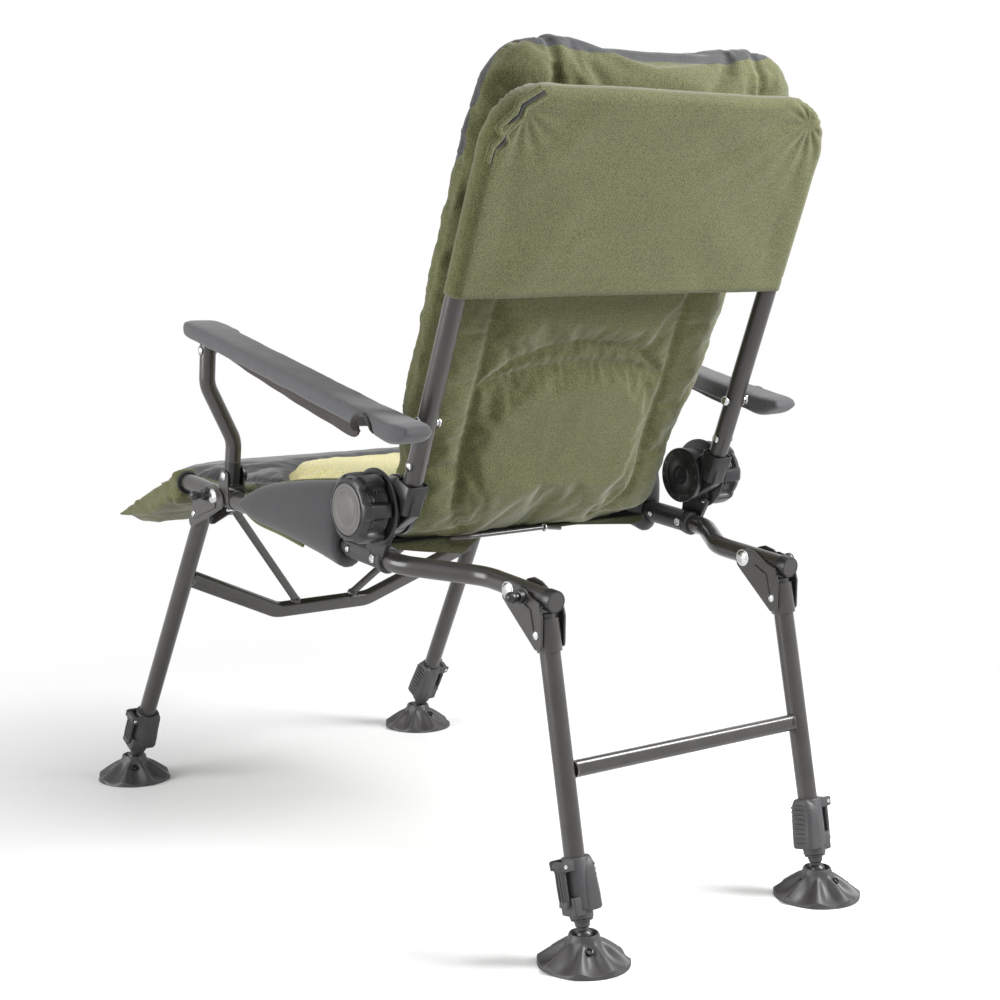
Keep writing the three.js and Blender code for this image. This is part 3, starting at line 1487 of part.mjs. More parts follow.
// Back cushion: a rounded slab with crowned faces, drawn in at its sides
function back_cushion() {
  const half = Math.floor(cushion_ring_steps / 2);
  const middle_share = 0.5;
  const rim_share = 0.45;
  const pocket_face = back_tube_behind - pocket_half_thickness - clear;
  const rings = back_station_shares.map(([along, front_share, rear_share, wide_share]) => {
    const up = back_cushion_from_up + along * back_cushion_length;
    const front = -front_share * back_cushion_front;
    const rear = rear_share * pocket_face;
    const half_width = wide_share * (back_half_spacing - back_cushion_inset);
    const edge = front + (rear - front) * middle_share;
    return Array.from({ length: cushion_ring_steps }, (_, i) => {
      const share = i < half ? i / (half - 1) : (cushion_ring_steps - 1 - i) / (half - 1);
      const across = Math.cos(share * Math.PI);
      const fall = 1 - Math.pow(Math.abs(across), 1 / back_square_share);
      const full = rim_share + (1 - rim_share) * fall;
      const behind = i < half ? edge + (rear - edge) * full : edge + (front - edge) * full;
      return back_point(half_width * across, up, behind);
    });
  });
  return loft(rings);
}

// Where the mattress bends from seat to back
function mattress_bend() {
  const half = Math.floor(cushion_ring_steps / 2);
  const rim_share = 0.4;
  const [, front_share, rear_share] = back_station_shares[0];
  const pocket_face = back_tube_behind - pocket_half_thickness - clear;
  const end_behind = (rear_share * pocket_face - front_share * back_cushion_front) / 2;
  const start_height = seat_line_height(cushion_end_y) + bend_start_share * cushion_thickness;
  const start = vec(0, cushion_end_y + clear, start_height);
  const end = back_point(0, back_cushion_from_up - clear, end_behind);
  const back_angle = Math.PI / 2 - recliner_lean;
  const rings = bend_station_shares.map(([back_share, up_share, thick_share, angle_share]) => {
    const y = start.y + back_share * (end.y - start.y);
    const z = start.z + up_share * (end.z - start.z);
    const thick = thick_share * bend_thickness_share * cushion_thickness;
    const angle = angle_share * back_angle;
    const normal = vec(0, -Math.sin(angle), Math.cos(angle));
    return Array.from({ length: cushion_ring_steps }, (_, i) => {
      const share = i < half ? i / (half - 1) : (cushion_ring_steps - 1 - i) / (half - 1);
      const across = Math.cos(share * Math.PI);
      const full = rim_share + (1 - rim_share) * (1 - Math.pow(Math.abs(across), 1 / back_square_share));
      const x = (seat_half_spacing - bend_inset) * across;
      return vec(x, y, z).addScaledVector(normal, (i < half ? thick : -thick) * full);
    });
  });
  return loft(rings);
}

// The head pocket: a flat sleeve over the top of the back frame, open below
function head_pocket() {
  const slab = (half_thickness, from_up) => {
    const corner = (back_corner_radius + half_thickness) / Math.cos(Math.PI / 4 / pocket_corner_steps);
    const corner_x = back_half_spacing - back_corner_radius;
    const corner_up = back_top_up - back_corner_radius;
    const top_share = 0.98;
    const levels = [from_up, corner_up];
    for (let s = 1; s < pocket_corner_steps; s++) {
      levels.push(corner_up + back_corner_radius * Math.sin((s / pocket_corner_steps) * (Math.PI / 2)));
    }
    for (let s = 0; s <= pocket_corner_steps; s++) {
      const turn = (s / pocket_corner_steps) * (Math.PI / 2);
      levels.push(back_top_up + half_thickness * top_share * Math.sin(turn));
    }
    const rings = levels.map((up) => {
      const above = Math.max(0, up - back_top_up);
      const beside = Math.max(0, up - corner_up);
      const thick = Math.sqrt(half_thickness * half_thickness - above * above);
      const half_width = corner_x + Math.sqrt(corner * corner - beside * beside);
      return stadium(half_width, thick).map(([a, b]) => back_point(a, up, back_tube_behind + b));
    });
    return loft(rings);
  };
  const outer = slab(pocket_half_thickness, pocket_hem_up);
  const inner = slab(pocket_half_thickness - pocket_skin, pocket_hem_up - tube_radius);
  return outer.subtract(inner);
}

// A flat strip with round ends, as points
function stadium(half_width, radius) {
  const steps = 8;
  return [1, -1].flatMap((side) =>
    Array.from({ length: steps + 1 }, (_, i) => {
      const angle = (i / steps - 1 / 2) * Math.PI;
      return [side * (half_width - radius + radius * Math.cos(angle)), side * radius * Math.sin(angle)];
    }),
  );
}

// The whole chair
add_pair("seat_tube", seat_tube(), black_paint);
add("front_bar", tube(front_bar(), tube_radius), black_paint);
add_pair("rear_tube", rear_tube_with_pin(), black_paint);
add_pair("saddle", saddle(), black_paint);
add_pair("post_bracket", post_bracket(), black_paint);
add("seat_cushion", seat_cushion(), olive);
add("front_flap", front_flap(), olive);
add("seat_sling", seat_sling(), black_cloth);
add("sling_strap", sling_strap(), black_paint);
add("mattress_bend", mattress_bend(), olive);

add_pair("back_tube", back_tube(), black_paint);
add("back_top_tube", tube(back_top_line(), tube_radius), black_paint);
add_pair("recliner_arm", recliner_arm(), black_plastic);
add_pair("hub_disc", hub_disc(), black_plastic);
add_pair("knob", knob(), black_plastic);
add("back_cushion", back_cushion(), olive);
add("head_pocket", head_pocket(), olive);

add_pair("arm_post", arm_post(), black_paint);
add_pair("arm_bar", arm_bar(), zinc);
add_pair("arm_pad", arm_pad(), grey_neoprene);

add_pair("front_leg", front_leg(), black_paint);
add("front_cross_bar", front_cross_bar(), black_paint);
add_pair("front_strut", front_strut(), black_paint);
add_pair("front_lock_pin", lock_pin(front_lock, seat_half_spacing, front_plate_gap), zinc);

add_pair("rear_leg", rear_leg(), black_paint);
add("rear_cross_bar", rear_cross_bar(), black_paint);
add_pair("rear_lock_pin", lock_pin(rear_lock, rear_tube_half_spacing, rear_plate_gap), zinc);

const front_end = leg_end_frame(front_axis_point, front_ball_down);
const rear_end = leg_end_frame(rear_axis_point, rear_ball_down);
[["front", front_end], ["rear", rear_end]].forEach(([name, frame]) => {
  add_pair(name + "_clamp", clamp(frame), black_plastic);
  add_pair(name + "_lever", clamp_lever(frame), black_plastic);
  add_pair(name + "_inner_leg", inner_leg(frame), zinc);
  add_pair(name + "_foot", foot(frame), black_plastic);
});

chair.position.y = -(front_end.ball.y + rear_end.ball.y) / 2;

export default chair;
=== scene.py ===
import math
import bpy
import numpy as np
from mathutils import Matrix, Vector, Vector as V, noise


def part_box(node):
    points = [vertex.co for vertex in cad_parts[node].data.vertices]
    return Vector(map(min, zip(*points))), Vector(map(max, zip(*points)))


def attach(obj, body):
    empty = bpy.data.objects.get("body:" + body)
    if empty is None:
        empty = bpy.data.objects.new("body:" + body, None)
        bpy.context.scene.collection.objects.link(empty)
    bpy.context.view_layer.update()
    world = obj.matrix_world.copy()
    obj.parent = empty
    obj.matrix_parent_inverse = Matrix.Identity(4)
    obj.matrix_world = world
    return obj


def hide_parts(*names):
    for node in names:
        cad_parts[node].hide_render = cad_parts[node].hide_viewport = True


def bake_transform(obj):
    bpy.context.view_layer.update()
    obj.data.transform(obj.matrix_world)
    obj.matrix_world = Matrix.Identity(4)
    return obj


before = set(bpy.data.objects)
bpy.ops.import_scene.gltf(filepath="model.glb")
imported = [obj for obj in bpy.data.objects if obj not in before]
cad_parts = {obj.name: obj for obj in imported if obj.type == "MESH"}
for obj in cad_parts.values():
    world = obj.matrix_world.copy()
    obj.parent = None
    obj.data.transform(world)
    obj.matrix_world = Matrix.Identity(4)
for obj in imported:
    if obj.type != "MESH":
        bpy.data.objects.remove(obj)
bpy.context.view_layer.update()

# Lengths here are in mm with y = 0 on the front hinge axis, as in the CAD source; to_row() turns them into the row frame
FRONT_FOOT_Y = -276.1
foot_low, foot_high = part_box("left_front_foot")
SHIFT = FRONT_FOOT_Y - 500 * (foot_low[1] + foot_high[1])
RAD = math.pi / 180
X = V((1, 0, 0))


def to_row(p):
    return (p[0] / 1000, (p[1] - SHIFT) / 1000, p[2] / 1000)


# Materials


class Tree:
    """The node tree of a material or world. An input takes a number, a colour or the socket that feeds it."""

    def __init__(self, owner):
        owner.use_nodes = True
        self.nodes, self.links = owner.node_tree.nodes, owner.node_tree.links

    def new(self, kind, inputs=None, **settings):
        made = self.nodes.new("ShaderNode" + kind)
        for key, value in settings.items():
            setattr(made, key, value)
        return self.feed(made, inputs or {})

    def feed(self, made, inputs):
        for key, value in inputs.items():
            if isinstance(value, bpy.types.NodeSocket):
                self.links.new(value, made.inputs[key])
            else:
                made.inputs[key].default_value = (*value, 1) if isinstance(value, tuple) else value
        return made

    def coords(self):
        return self.new("TexCoord").outputs["Object"]

    def attribute(self, name, output):
        return self.new("Attribute", attribute_name=name).outputs[output]

    def noise(self, at, scale, detail=2):
        return self.new("TexNoise", {"Vector": at, "Scale": scale, "Detail": detail}).outputs["Fac"]

    def ramp(self, source, *stops):
        made = self.new("ValToRGB", {"Fac": source})
        for element, (place, color) in zip(made.color_ramp.elements, stops):
            element.position, element.color = place, (*color, 1)
        return made.outputs["Color"]

    def remap(self, value, low, high):
        return self.new("MapRange", {"Value": value, "To Min": low, "To Max": high}).outputs["Result"]

    def rise(self, value, low, high):
        """0 below low and 1 above high, smooth between them."""
        inputs = {"Value": value, "From Min": low, "From Max": high}
        return self.new("MapRange", inputs, interpolation_type="SMOOTHSTEP").outputs["Result"]

    def math(self, operation, *values):
        return self.new("Math", dict(enumerate(values)), operation=operation).outputs[0]

    def mix(self, factor, a, b, blend="MIX"):
        first, second, color = 6, 7, 2  # the colour sockets of the Mix node
        made = self.new("Mix", data_type="RGBA", blend_type=blend)
        return self.feed(made, {0: factor, first: a, second: b}).outputs[color]

    def bump(self, height, strength, depth):
        return self.new("Bump", {"Strength": strength, "Distance": depth, "Height": height}).outputs["Normal"]

    def seen(self):
        """1 for rays that look at something: from the camera, through glass or off a mirror."""
        paths = self.new("LightPath").outputs
        direct = self.math("MAXIMUM", paths["Is Camera Ray"], paths["Is Transmission Ray"])
        return self.math("MAXIMUM", direct, paths["Is Glossy Ray"])


def material(name):
    made = bpy.data.materials.new(name)
    tree = Tree(made)
    return made, tree, tree.nodes["Principled BSDF"]


def scaled(color, share):
    return tuple(min(1, c * share) for c in color)


def hard(name, color, rough, metal=0.0, coat=0.0, grain=900, depth=0.00006, spread=0.25):
    """A painted, moulded or plated surface with uneven gloss and a fine grain."""
    made, tree, shader = material(name)
    at = tree.coords()
    wide, fine = tree.noise(at, 35, 5), tree.noise(at, grain, 3)
    low, high = scaled(color, 1 - spread), scaled(color, 1 + spread)
    tree.feed(shader, {"Metallic": metal, "Coat Weight": coat, "Base Color": tree.ramp(wide, (0.3, low), (0.7, high)),
                       "Roughness": tree.remap(wide, rough * 0.82, min(1, rough * 1.22)),
                       "Normal": tree.bump(fine, 0.35, depth)})
    return made


THREAD = 0.0012


def weave(tree, at):
    """Crossed threads seen along each axis, as one height."""
    waves = [tree.new("TexWave", {"Vector": at, "Scale": 1 / (2 * math.pi * THREAD), "Distortion": 0.6},
                      bands_direction=axis).outputs["Fac"] for axis in "XYZ"]
    return tree.math("ADD", tree.math("ADD", *waves[:2]), waves[2])


def cloth(name, color, rough=0.85, sheen=0.25, depth=0.0003, speckle=0.26, smooth=False):
    """Woven polyester or neoprene. color is one colour, or a function that makes a colour from the attribute "rest"."""
    made, tree, shader = material(name)
    zoned = callable(color)
    # "rest" holds the places of the points before the piece bends, so that it carries its pattern along
    at = tree.attribute("rest", "Vector") if zoned else tree.coords()
    grain, patch = tree.noise(at, 850, 1), tree.noise(at, 14, 4)
    fine = tree.ramp(grain, (0.41, (1 - speckle * 1.5,) * 3), (0.59, (1 + speckle * 1.5,) * 3))
    wide = tree.ramp(patch, (0.25, (0.94,) * 3), (0.75, (1.05,) * 3))
    shade = tree.mix(1, fine, wide, "MULTIPLY")
    tree.feed(shader, {"Roughness": rough, "Sheen Weight": sheen, "Sheen Roughness": 0.5, "Specular IOR Level": 0.25,
                       "Base Color": tree.mix(1, shade, color(tree, at) if zoned else color, "MULTIPLY"),
                       "Normal": tree.bump(grain if smooth else weave(tree, at), 0.3, depth)})
    return made


OLIVE = (0.090, 0.094, 0.036)
LIGHT_OLIVE = (0.57, 0.52, 0.23)
NEOPRENE = (0.042, 0.042, 0.045)


def mattress_zones(tree, at):
    """Olive behind and below; light centre, neoprene borders and knee roll on the sitter's side."""
    x, y, z = tree.new("SeparateXYZ", {0: at}).outputs
    across = tree.math("ABSOLUTE", x)

    def parted(value, place, below, above):
        return tree.mix(tree.rise(value, place - 0.0005, place + 0.0005), below, above)

    # the bowed seam between the knee roll and the light centre
    bow = tree.math("POWER", tree.math("DIVIDE", across, 0.182), 4)
    arc = tree.math("ADD", tree.math("MULTIPLY", bow, 0.118), -0.050)
    past = tree.math("SUBTRACT", tree.math("ADD", y, SHIFT / 1000), arc)
    knee, centre = parted(across, 0.215, NEOPRENE, OLIVE), parted(across, 0.185, LIGHT_OLIVE, OLIVE)
    seat = tree.mix(tree.rise(past, -0.0006, 0.0006), knee, centre)
    back = parted(across, 0.17, parted(across, 0.12, LIGHT_OLIVE, OLIVE), NEOPRENE)
    sitter_side = parted(z, 0.6, seat, parted(z, 0.9, back, NEOPRENE))
    # "side" is above 0 on the sitter's side of the rim
    return tree.mix(tree.rise(tree.attribute("side", "Fac"), -0.0004, 0.0004), OLIVE, sitter_side)


paint = hard("satin_black_paint", (0.034, 0.031, 0.029), 0.33, coat=0.35, grain=1500, depth=0.00003, spread=0.15)
plastic = hard("moulded_black_plastic", (0.016, 0.016, 0.018), 0.33, grain=1400, depth=0.00004, spread=0.15)
soft_plastic = hard("dull_grey_plastic", (0.045, 0.045, 0.048), 0.5, grain=1100, spread=0.12)
soft_black = hard("matt_black_plastic", (0.026, 0.025, 0.026), 0.42, grain=1000, depth=0.00005, spread=0.15)
cap_plastic = hard("cap_grey_plastic", (0.105, 0.10, 0.095), 0.5, grain=1100, spread=0.1)
foot_plastic = hard("foot_plastic", (0.040, 0.037, 0.038), 0.46, grain=700, depth=0.0001, spread=0.2)
zinc = hard("bright_zinc", (0.62, 0.62, 0.63), 0.26, metal=1.0, grain=1200, depth=0.00003, spread=0.12)
dark_steel = hard("dark_steel", (0.16, 0.16, 0.165), 0.35, metal=1.0, grain=1200, depth=0.00003, spread=0.15)
olive = cloth("olive_polyester", OLIVE)
# painted shade: a darker copy of the olive cloth for the hem that hangs in the shade under the seat
olive_painted_shade = cloth("olive_lining", scaled(OLIVE, 0.45), sheen=0.1)
dark_cloth = cloth("dark_cloth", (0.016, 0.017, 0.016), sheen=0.05)
neoprene = cloth("grey_neoprene", NEOPRENE, rough=0.75, sheen=0.22, depth=0.0002, speckle=0.1, smooth=True)
# dark piping for bindings; its strip in the slit at the head pocket's corner is painted shade
piping_and_slit_shade = cloth("dark_piping", (0.020, 0.020, 0.021), rough=0.7, sheen=0.2, depth=0.0002, speckle=0.1)
pad_cloth = cloth("arm_pad_neoprene", (0.074, 0.074, 0.078), rough=0.75, depth=0.0002, speckle=0.1, smooth=True)
binding = cloth("brown_binding", (0.040, 0.034, 0.031), rough=0.8, sheen=0.2, speckle=0.25)
mattress_cloth = cloth("mattress_cloth", mattress_zones)


# Mesh code


class Part:
    """Shells of one piece, each with its own material, kept in mm until the piece is made."""

    def __init__(self):
        self.points, self.faces, self.kinds, self.materials = [], [], [], []

    def add(self, mesh, mat):
        points, faces = mesh
        base = len(self.points)
        if mat not in self.materials:
            self.materials.append(mat)
        self.points += [V(p) for p in points]
        self.faces += [tuple(i + base for i in face) for face in faces]
        self.kinds += [self.materials.index(mat)] * len(faces)
        return self

    def turn(self, at, axis, profile, mat, sides=32):
        return self.add(turned(at, axis, profile, sides), mat)

    def make(self, name, body=None, nodes=(), slot=None, mirror=False):
        points = [V((-p.x, p.y, p.z)) if mirror else p for p in self.points]
        faces = [tuple(reversed(f)) if mirror else f for f in self.faces]
        mesh = bpy.data.meshes.new(name)
        mesh.from_pydata([to_row(p) for p in points], [], faces)
        for mat in self.materials:
            mesh.materials.append(mat)
        mesh.polygons.foreach_set("material_index", self.kinds)
        mesh.polygons.foreach_set("use_smooth", [True] * len(faces))
        mesh.update()
        mesh.set_sharp_from_angle(angle=38 * RAD)
        obj = bpy.data.objects.new(name, mesh)
        bpy.context.collection.objects.link(obj)
        if body:
            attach(obj, body)
        if nodes:
            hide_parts(*nodes)
        return obj


def single(part, name, body, slot):
    """A piece in the middle, in place of its CAD node."""
    part.make(name + "_fine", body, [name], slot)


def pair(make_part, name, body, slot):
    """A piece for each side, in place of that side's CAD node; body may hold {} for the side."""
    for side in ("left", "right"):
        node = side + "_" + name
        make_part().make(node + "_fine", body.format(side), [node], slot, mirror=side == "right")


def at_x(x, p):
    return V((x, p[1], p[2]))


def yz(points):
    return [(p.y, p.z) for p in points]


def loft(rings, caps=True):
    """Faces between rings of points, facing outwards."""
    count = len(rings[0])
    points = [V(p) for ring in rings for p in ring]
    faces = []
    for start in range(0, len(points) - count, count):
        for i in range(count):
            a, b = start + i, start + (i + 1) % count
            faces.append((a, b, b + count, a + count))
    if caps:
        faces += [tuple(reversed(range(count))), tuple(range(len(points) - count, len(points)))]
    middle = sum(points, V((0, 0, 0))) / len(points)
    volume = 0
    for f in faces:
        a = points[f[0]] - middle
        for i, j in zip(f[1:], f[2:]):
            volume += a.dot((points[i] - middle).cross(points[j] - middle))
    if volume < 0:
        faces = [tuple(reversed(f)) for f in faces]
    return points, faces


def bent(points, radius, steps=8):
    """A line through points, with an arc of the radius at each corner."""
    points = [V(p) for p in points]
    line = [points[0]]
    for before, corner, after in zip(points, points[1:], points[2:]):
        into, away = (corner - before).normalized(), (after - corner).normalized()
        turn = into.angle(away)
        start = corner - into * radius * math.tan(turn / 2)
        inward = (away - into * away.dot(into)).normalized()
        for s in range(steps + 1):
            a = turn * s / steps
            line.append(start + into * radius * math.sin(a) + inward * radius * (1 - math.cos(a)))
    return line + [points[-1]]


def sections(line, section, side):
    """A ring of the section's (a, b) points at each point of the line; a runs along side."""
    across = V(side)
    rings = []
    for i, p in enumerate(line):
        along = V((0, 0, 0))
        if i:
            along += (p - line[i - 1]).normalized()
        if i + 1 < len(line):
            along += (line[i + 1] - p).normalized()
        along.normalize()
        across = (across - along * across.dot(along)).normalized()
        up = across.cross(along)
        rings.append([p + across * a + up * b for a, b in (section(i) if callable(section) else section)])
    return rings


def circle(radius, sides):
    turns = [2 * math.pi * i / sides for i in range(sides)]
    return [(radius * math.cos(a), radius * math.sin(a)) for a in turns]


def tube(line, radius, sides=28, chamfer=0.0):
    line = [V(p) for p in line]
    along = (line[1] - line[0]).normalized()
    side = V((0, 0, 1)).cross(along) if abs(along.x) > 0.5 else X
    radii = [radius] * len(line)
    if chamfer:
        first, last = line[0], line[-1]
        near, far = (line[1] - first).normalized(), (line[-2] - last).normalized()
        line = [first, first + near * chamfer] + line[1:-1] + [last + far * chamfer, last]
        radii = [radius - chamfer] + [radius] * (len(line) - 2) + [radius - chamfer]
    return loft(sections(line, lambda i: circle(radii[i], sides), side))


def turned(at, axis, profile, sides=32):
    """The profile's (along, radius) points turned round an axis; an axis of 1 or -1 runs along x."""
    axis = X * axis if isinstance(axis, int) else V(axis).normalized()
    side = V((0, 1, 0)) if abs(axis.x) > 0.5 else X
    across = (side - axis * side.dot(axis)).normalized()
    up = axis.cross(across)
    return loft([[V(at) + axis * a + across * c + up * s for c, s in circle(max(r, 0.01), sides)] for a, r in profile])


def disc(x0, x1, at, radius, bevel=0.6, sides=40):
    b, thick = min(bevel, abs(x1 - x0) / 2.2), x1 - x0
    return turned(at_x(x0, at), 1, [(0, radius - b), (b, radius), (thick - b, radius), (thick, radius - b)], sides)


def rounded(points, radius, steps=4):
    """An outline's corners as arcs; points are (a, b)."""
    done = []
    for i, p in enumerate(points):
        p = V((*p, 0))
        before, after = V((*points[i - 1], 0)) - p, V((*points[(i + 1) % len(points)], 0)) - p
        a, b = before.normalized(), after.normalized()
        half = a.angle(b) / 2
        inset = min(radius / math.tan(half), before.length * 0.48, after.length * 0.48)
        centre = p + (a + b).normalized() * math.hypot(inset, inset * math.tan(half))
        start, end = p + a * inset - centre, p + b * inset - centre
        turn, axis = start.angle(end), start.cross(end)
        for s in range(steps + 1):
            q = start if axis.length < 1e-9 else Matrix.Rotation(turn * s / steps, 3, axis) @ start
            done.append(((centre + q).x, (centre + q).y))
    return done


def plate(outline, x0, x1, bevel=0.7):
    """outline: (y, z) points. A plate across x with chamfered edges."""
    count = len(outline)
    area = sum(a[0] * b[1] - b[0] * a[1] for a, b in zip(outline[-1:] + outline, outline))

    def ring(x, inset):
        points = []
        for i, (y, z) in enumerate(outline):
            edge = V(outline[(i + 1) % count]) - V(outline[i - 1])
            normal = V((edge.y, -edge.x)).normalized() * math.copysign(inset, area)
            points.append(V((x, y - normal.x, z - normal.y)))
        return points

    b = min(bevel, abs(x1 - x0) / 2.2)
    return loft([ring(x0, b), ring(x0 + b, 0), ring(x1 - b, 0), ring(x1, b)])


def rivet(part, at, x, side, radius=5.2, height=2.4, ring=True):
    """A domed head on the plane at x that looks along side, and the flat ring round it."""
    profile = [(-0.4, 0.98), (0.25 * height, 1), (0.55 * height, 0.86), (0.82 * height, 0.6), (height, 0.2)]
    part.turn(at_x(x, at), side, [(a, share * radius) for a, share in profile], zinc, 24)
    if ring:
        part.turn(at_x(x, at), side, [(-0.3, radius + 1.6), (0.35, radius + 1.5), (0.5, radius + 0.9)], paint, 24)


def box_ring(half_a, half_b, corner, steps=3):
    return rounded([(half_a, half_b), (-half_a, half_b), (-half_a, -half_b), (half_a, -half_b)], corner, steps)


def superellipse(steps, power):
    ring = []
    for i in range(steps):
        a = (i + 0.5) * 2 * math.pi / steps
        c, s = math.cos(a), math.sin(a)
        ring.append((math.copysign(abs(c) ** (2 / power), c), math.copysign(abs(s) ** (2 / power), s)))
    return ring


def smooth_step(t):
    t = min(1, max(0, t))
    return t * t * (3 - 2 * t)


# Frames of the folding members, as in the CAD source

ROOT_HEIGHT, DROP, SPACING = 471.8, 0.08, 255
SLOPE = math.atan(DROP)
REAR_SPACING, REAR_HINGE_Y = 191.6, 600.8
TUBE = 12.5
LEAN_DEGREES = 21.2
LEAN, FRONT_BEND_ANGLE = LEAN_DEGREES * RAD, 22.5 * RAD
AXIS = V((0, 412, 507))
BACK_X, BEHIND, ARM_X = 253, 39, 300
# each pair of legs: its angle, the side it leans to, its hinge, how far behind the hinge its tubes lie and how far they spread
FRONT = (28.2 * RAD, -1, (0, ROOT_HEIGHT))
REAR = (11.9 * RAD, 1, (REAR_HINGE_Y, ROOT_HEIGHT - DROP * REAR_HINGE_Y))
FRONT_AWAY, REAR_AWAY = 35.5, 42.7
FRONT_SPREAD, REAR_SPREAD = 11.8, 1.9
BALL_HEIGHT = 32


def seat_point(x, y, above=0):
    return V((x, y + above * math.sin(SLOPE), ROOT_HEIGHT - DROP * y + above * math.cos(SLOPE)))


def leg_point(legs, x, down, away):
    angle, way, (y, z) = legs
    s, c = math.sin(angle), math.cos(angle)
    return V((x, y + way * (down * s + away * c), z - down * c + away * s))


def front_point(x, down, away):
    return leg_point(FRONT, x, down, away)


def rear_point(x, down, away):
    return leg_point(REAR, x, down, away)


def back_point(x, up, behind):
    s, c = math.sin(LEAN), math.cos(LEAN)
    return V((x, AXIS.y + up * s + behind * c, AXIS.z + up * c - behind * s))


def ball_down(legs, away):
    """How far down the leg its foot's ball lies."""
    angle, _, (_, z) = legs
    return (z + away * math.sin(angle) - BALL_HEIGHT) / math.cos(angle)


FRONT_BALL, REAR_BALL = ball_down(FRONT, FRONT_AWAY), ball_down(REAR, REAR_AWAY)


def front_axis(down):
    return front_point(SPACING + FRONT_SPREAD * down / FRONT_BALL, down, FRONT_AWAY)


def rear_axis(down):
    return rear_point(REAR_SPACING + REAR_SPREAD * down / REAR_BALL, down, REAR_AWAY)


FRONT_BEND = seat_point(SPACING, -115)


def down_front(x, along):
    return V((x, FRONT_BEND.y - along * math.cos(FRONT_BEND_ANGLE), FRONT_BEND.z - along * math.sin(FRONT_BEND_ANGLE)))


# Seat frame


def hinge_bolt(part, hinge, x, half, reach):
    part.add(disc(x - half, x + half, hinge, 5.4), dark_steel)
    for side in (1, -1):
        rivet(part, hinge, x + side * reach, side, 9.6, 3.4, ring=False)
        part.turn(at_x(x + side * (reach - 0.2), hinge), side, [(0, 11.2), (0.7, 11.0), (0.9, 10)], zinc)


def seat_tube_line():
    return bent([seat_point(SPACING, 372), FRONT_BEND, down_front(SPACING, 62)], 100, 10)


def seat_tube():
    part = Part().add(tube(seat_tube_line(), TUBE, 36), paint)
    hinge_bolt(part, seat_point(0, 0), SPACING, 17.8, 17.5)
    return part


def front_bar():
    corners = [down_front(side * SPACING, along) for side, along in ((1, 62.4), (1, 173), (-1, 173), (-1, 62.4))]
    return Part().add(tube(bent(corners, 60, 12), TUBE, 36), paint)


def rear_tube():
    corners = [(SPACING, 376), (SPACING, 443), (REAR_SPACING, 535), (REAR_SPACING, 669)]
    line = bent([seat_point(*corner) for corner in corners], 62, 12)
    part = Part().add(tube(line, TUBE, 36), paint)
    end = line[-1]
    along = (end - line[-2]).normalized()
    part.turn(end - along * 15, along, [(0, 12.7), (1, 13.5), (13.5, 13.5), (15, 12.8), (15.3, 11.6), (15, 10.9),
                                        (13.2, 10.4)], plastic, 40)
    part.turn(end, along, [(-3, 10.8), (-1.7, 10.7), (-1.7, 7.8), (-1.1, 7.4), (-1.1, 5.2), (-1.7, 4.8), (-1.7, 0.5)],
              soft_plastic)
    hinge_bolt(part, rear_point(0, 0, 0), REAR_SPACING, 19, 18.8)
    return part


def saddle():
    part = Part()
    # the sleeve, the collar at its rear and the step between them
    for y0, y1, radius, chamfer in ((335, 418, 14.8, 1.2), (409, 418.6, 17, 1.6), (404.5, 407, 15.9, 0.8)):
        part.add(tube([seat_point(SPACING, y0), seat_point(SPACING, y1)], radius, 40, chamfer), soft_black)
    # the parting line along the outer side
    bead = [seat_point(SPACING + 13.2, y, 7.6) for y in (338, 396)]
    part.add(loft(sections(bead, box_ring(1.6, 2.1, 0.8), X)), soft_black)
    outline = [(384, 440), (418, 437), (437, 470), (437, 476.5), (434, 488), (436, 512), (424, 536), (400, 536),
               (388, 512), (390, 480)]
    part.add(plate(rounded(outline, 6), 261.5, 269.2, 1.0), soft_black)
    part.add(disc(261, 269.5, AXIS, 33, 1.2, 48), plastic)
    part.turn(at_x(269.1, AXIS), 1, [(0, 46.5), (0.8, 48), (3, 48), (4.2, 46.8), (4.4, 42), (4.0, 30)], plastic, 72)
    # the stop lug with its bolt
    lug = [(418, 470.5), (437, 470.5), (437, 476.5), (418, 476.5)]
    part.add(plate(rounded(lug, 2), 258, 270.5, 0.8), plastic)
    part.turn((264, 430, 476.2), (0, 0, 1), [(0, 4.2), (1.2, 4.0), (2.2, 2.8)], zinc, 6)
    part.turn((264, 430, 470.8), (0, 0, -1), [(0, 4.0), (2.2, 4.0), (2.8, 3.2)], zinc, 6)
    for y, r in ((344, 3.6), (401, 5.4)):
        for side in (1, -1):
            at = at_x(SPACING + side * 14.3, seat_point(0, y))
            part.turn(at, side, [(-1, r + 2.2), (0.7, r + 2.0), (0.9, r + 1.1), (-0.2, r + 0.6)], plastic)
            part.turn(at, side, [(-1, r + 0.4), (1.2, r + 0.1), (2.0, r - 0.9), (1.9, r - 1.8), (0.6, r - 2.3)], zinc)
    return part


def lobe(angle, depth):
    """0 on one of the knob's six grips and depth in the hollow between two of them."""
    half, soft = 12.5, 8
    off = abs((angle / RAD) % 60 - 30)
    return depth * smooth_step((half + soft - off) / soft)


# along, radius, depth of the hollows
KNOB = [(0.0, 41.5, 5.5), (1.2, 43.8, 7), (3.5, 45.0, 9.6), (17, 45.4, 9.6), (25.5, 45.0, 9.4), (28.5, 44.6, 5.5),
        (29.5, 44.4, 4.2), (33.0, 43.2, 3.6), (36.0, 40.8, 2.6), (37.8, 38.2, 1.4), (38.8, 35.6, 0.5), (39.0, 34.0, 0),
        (38.0, 33.2, 0), (38.0, 32.6, 0)]


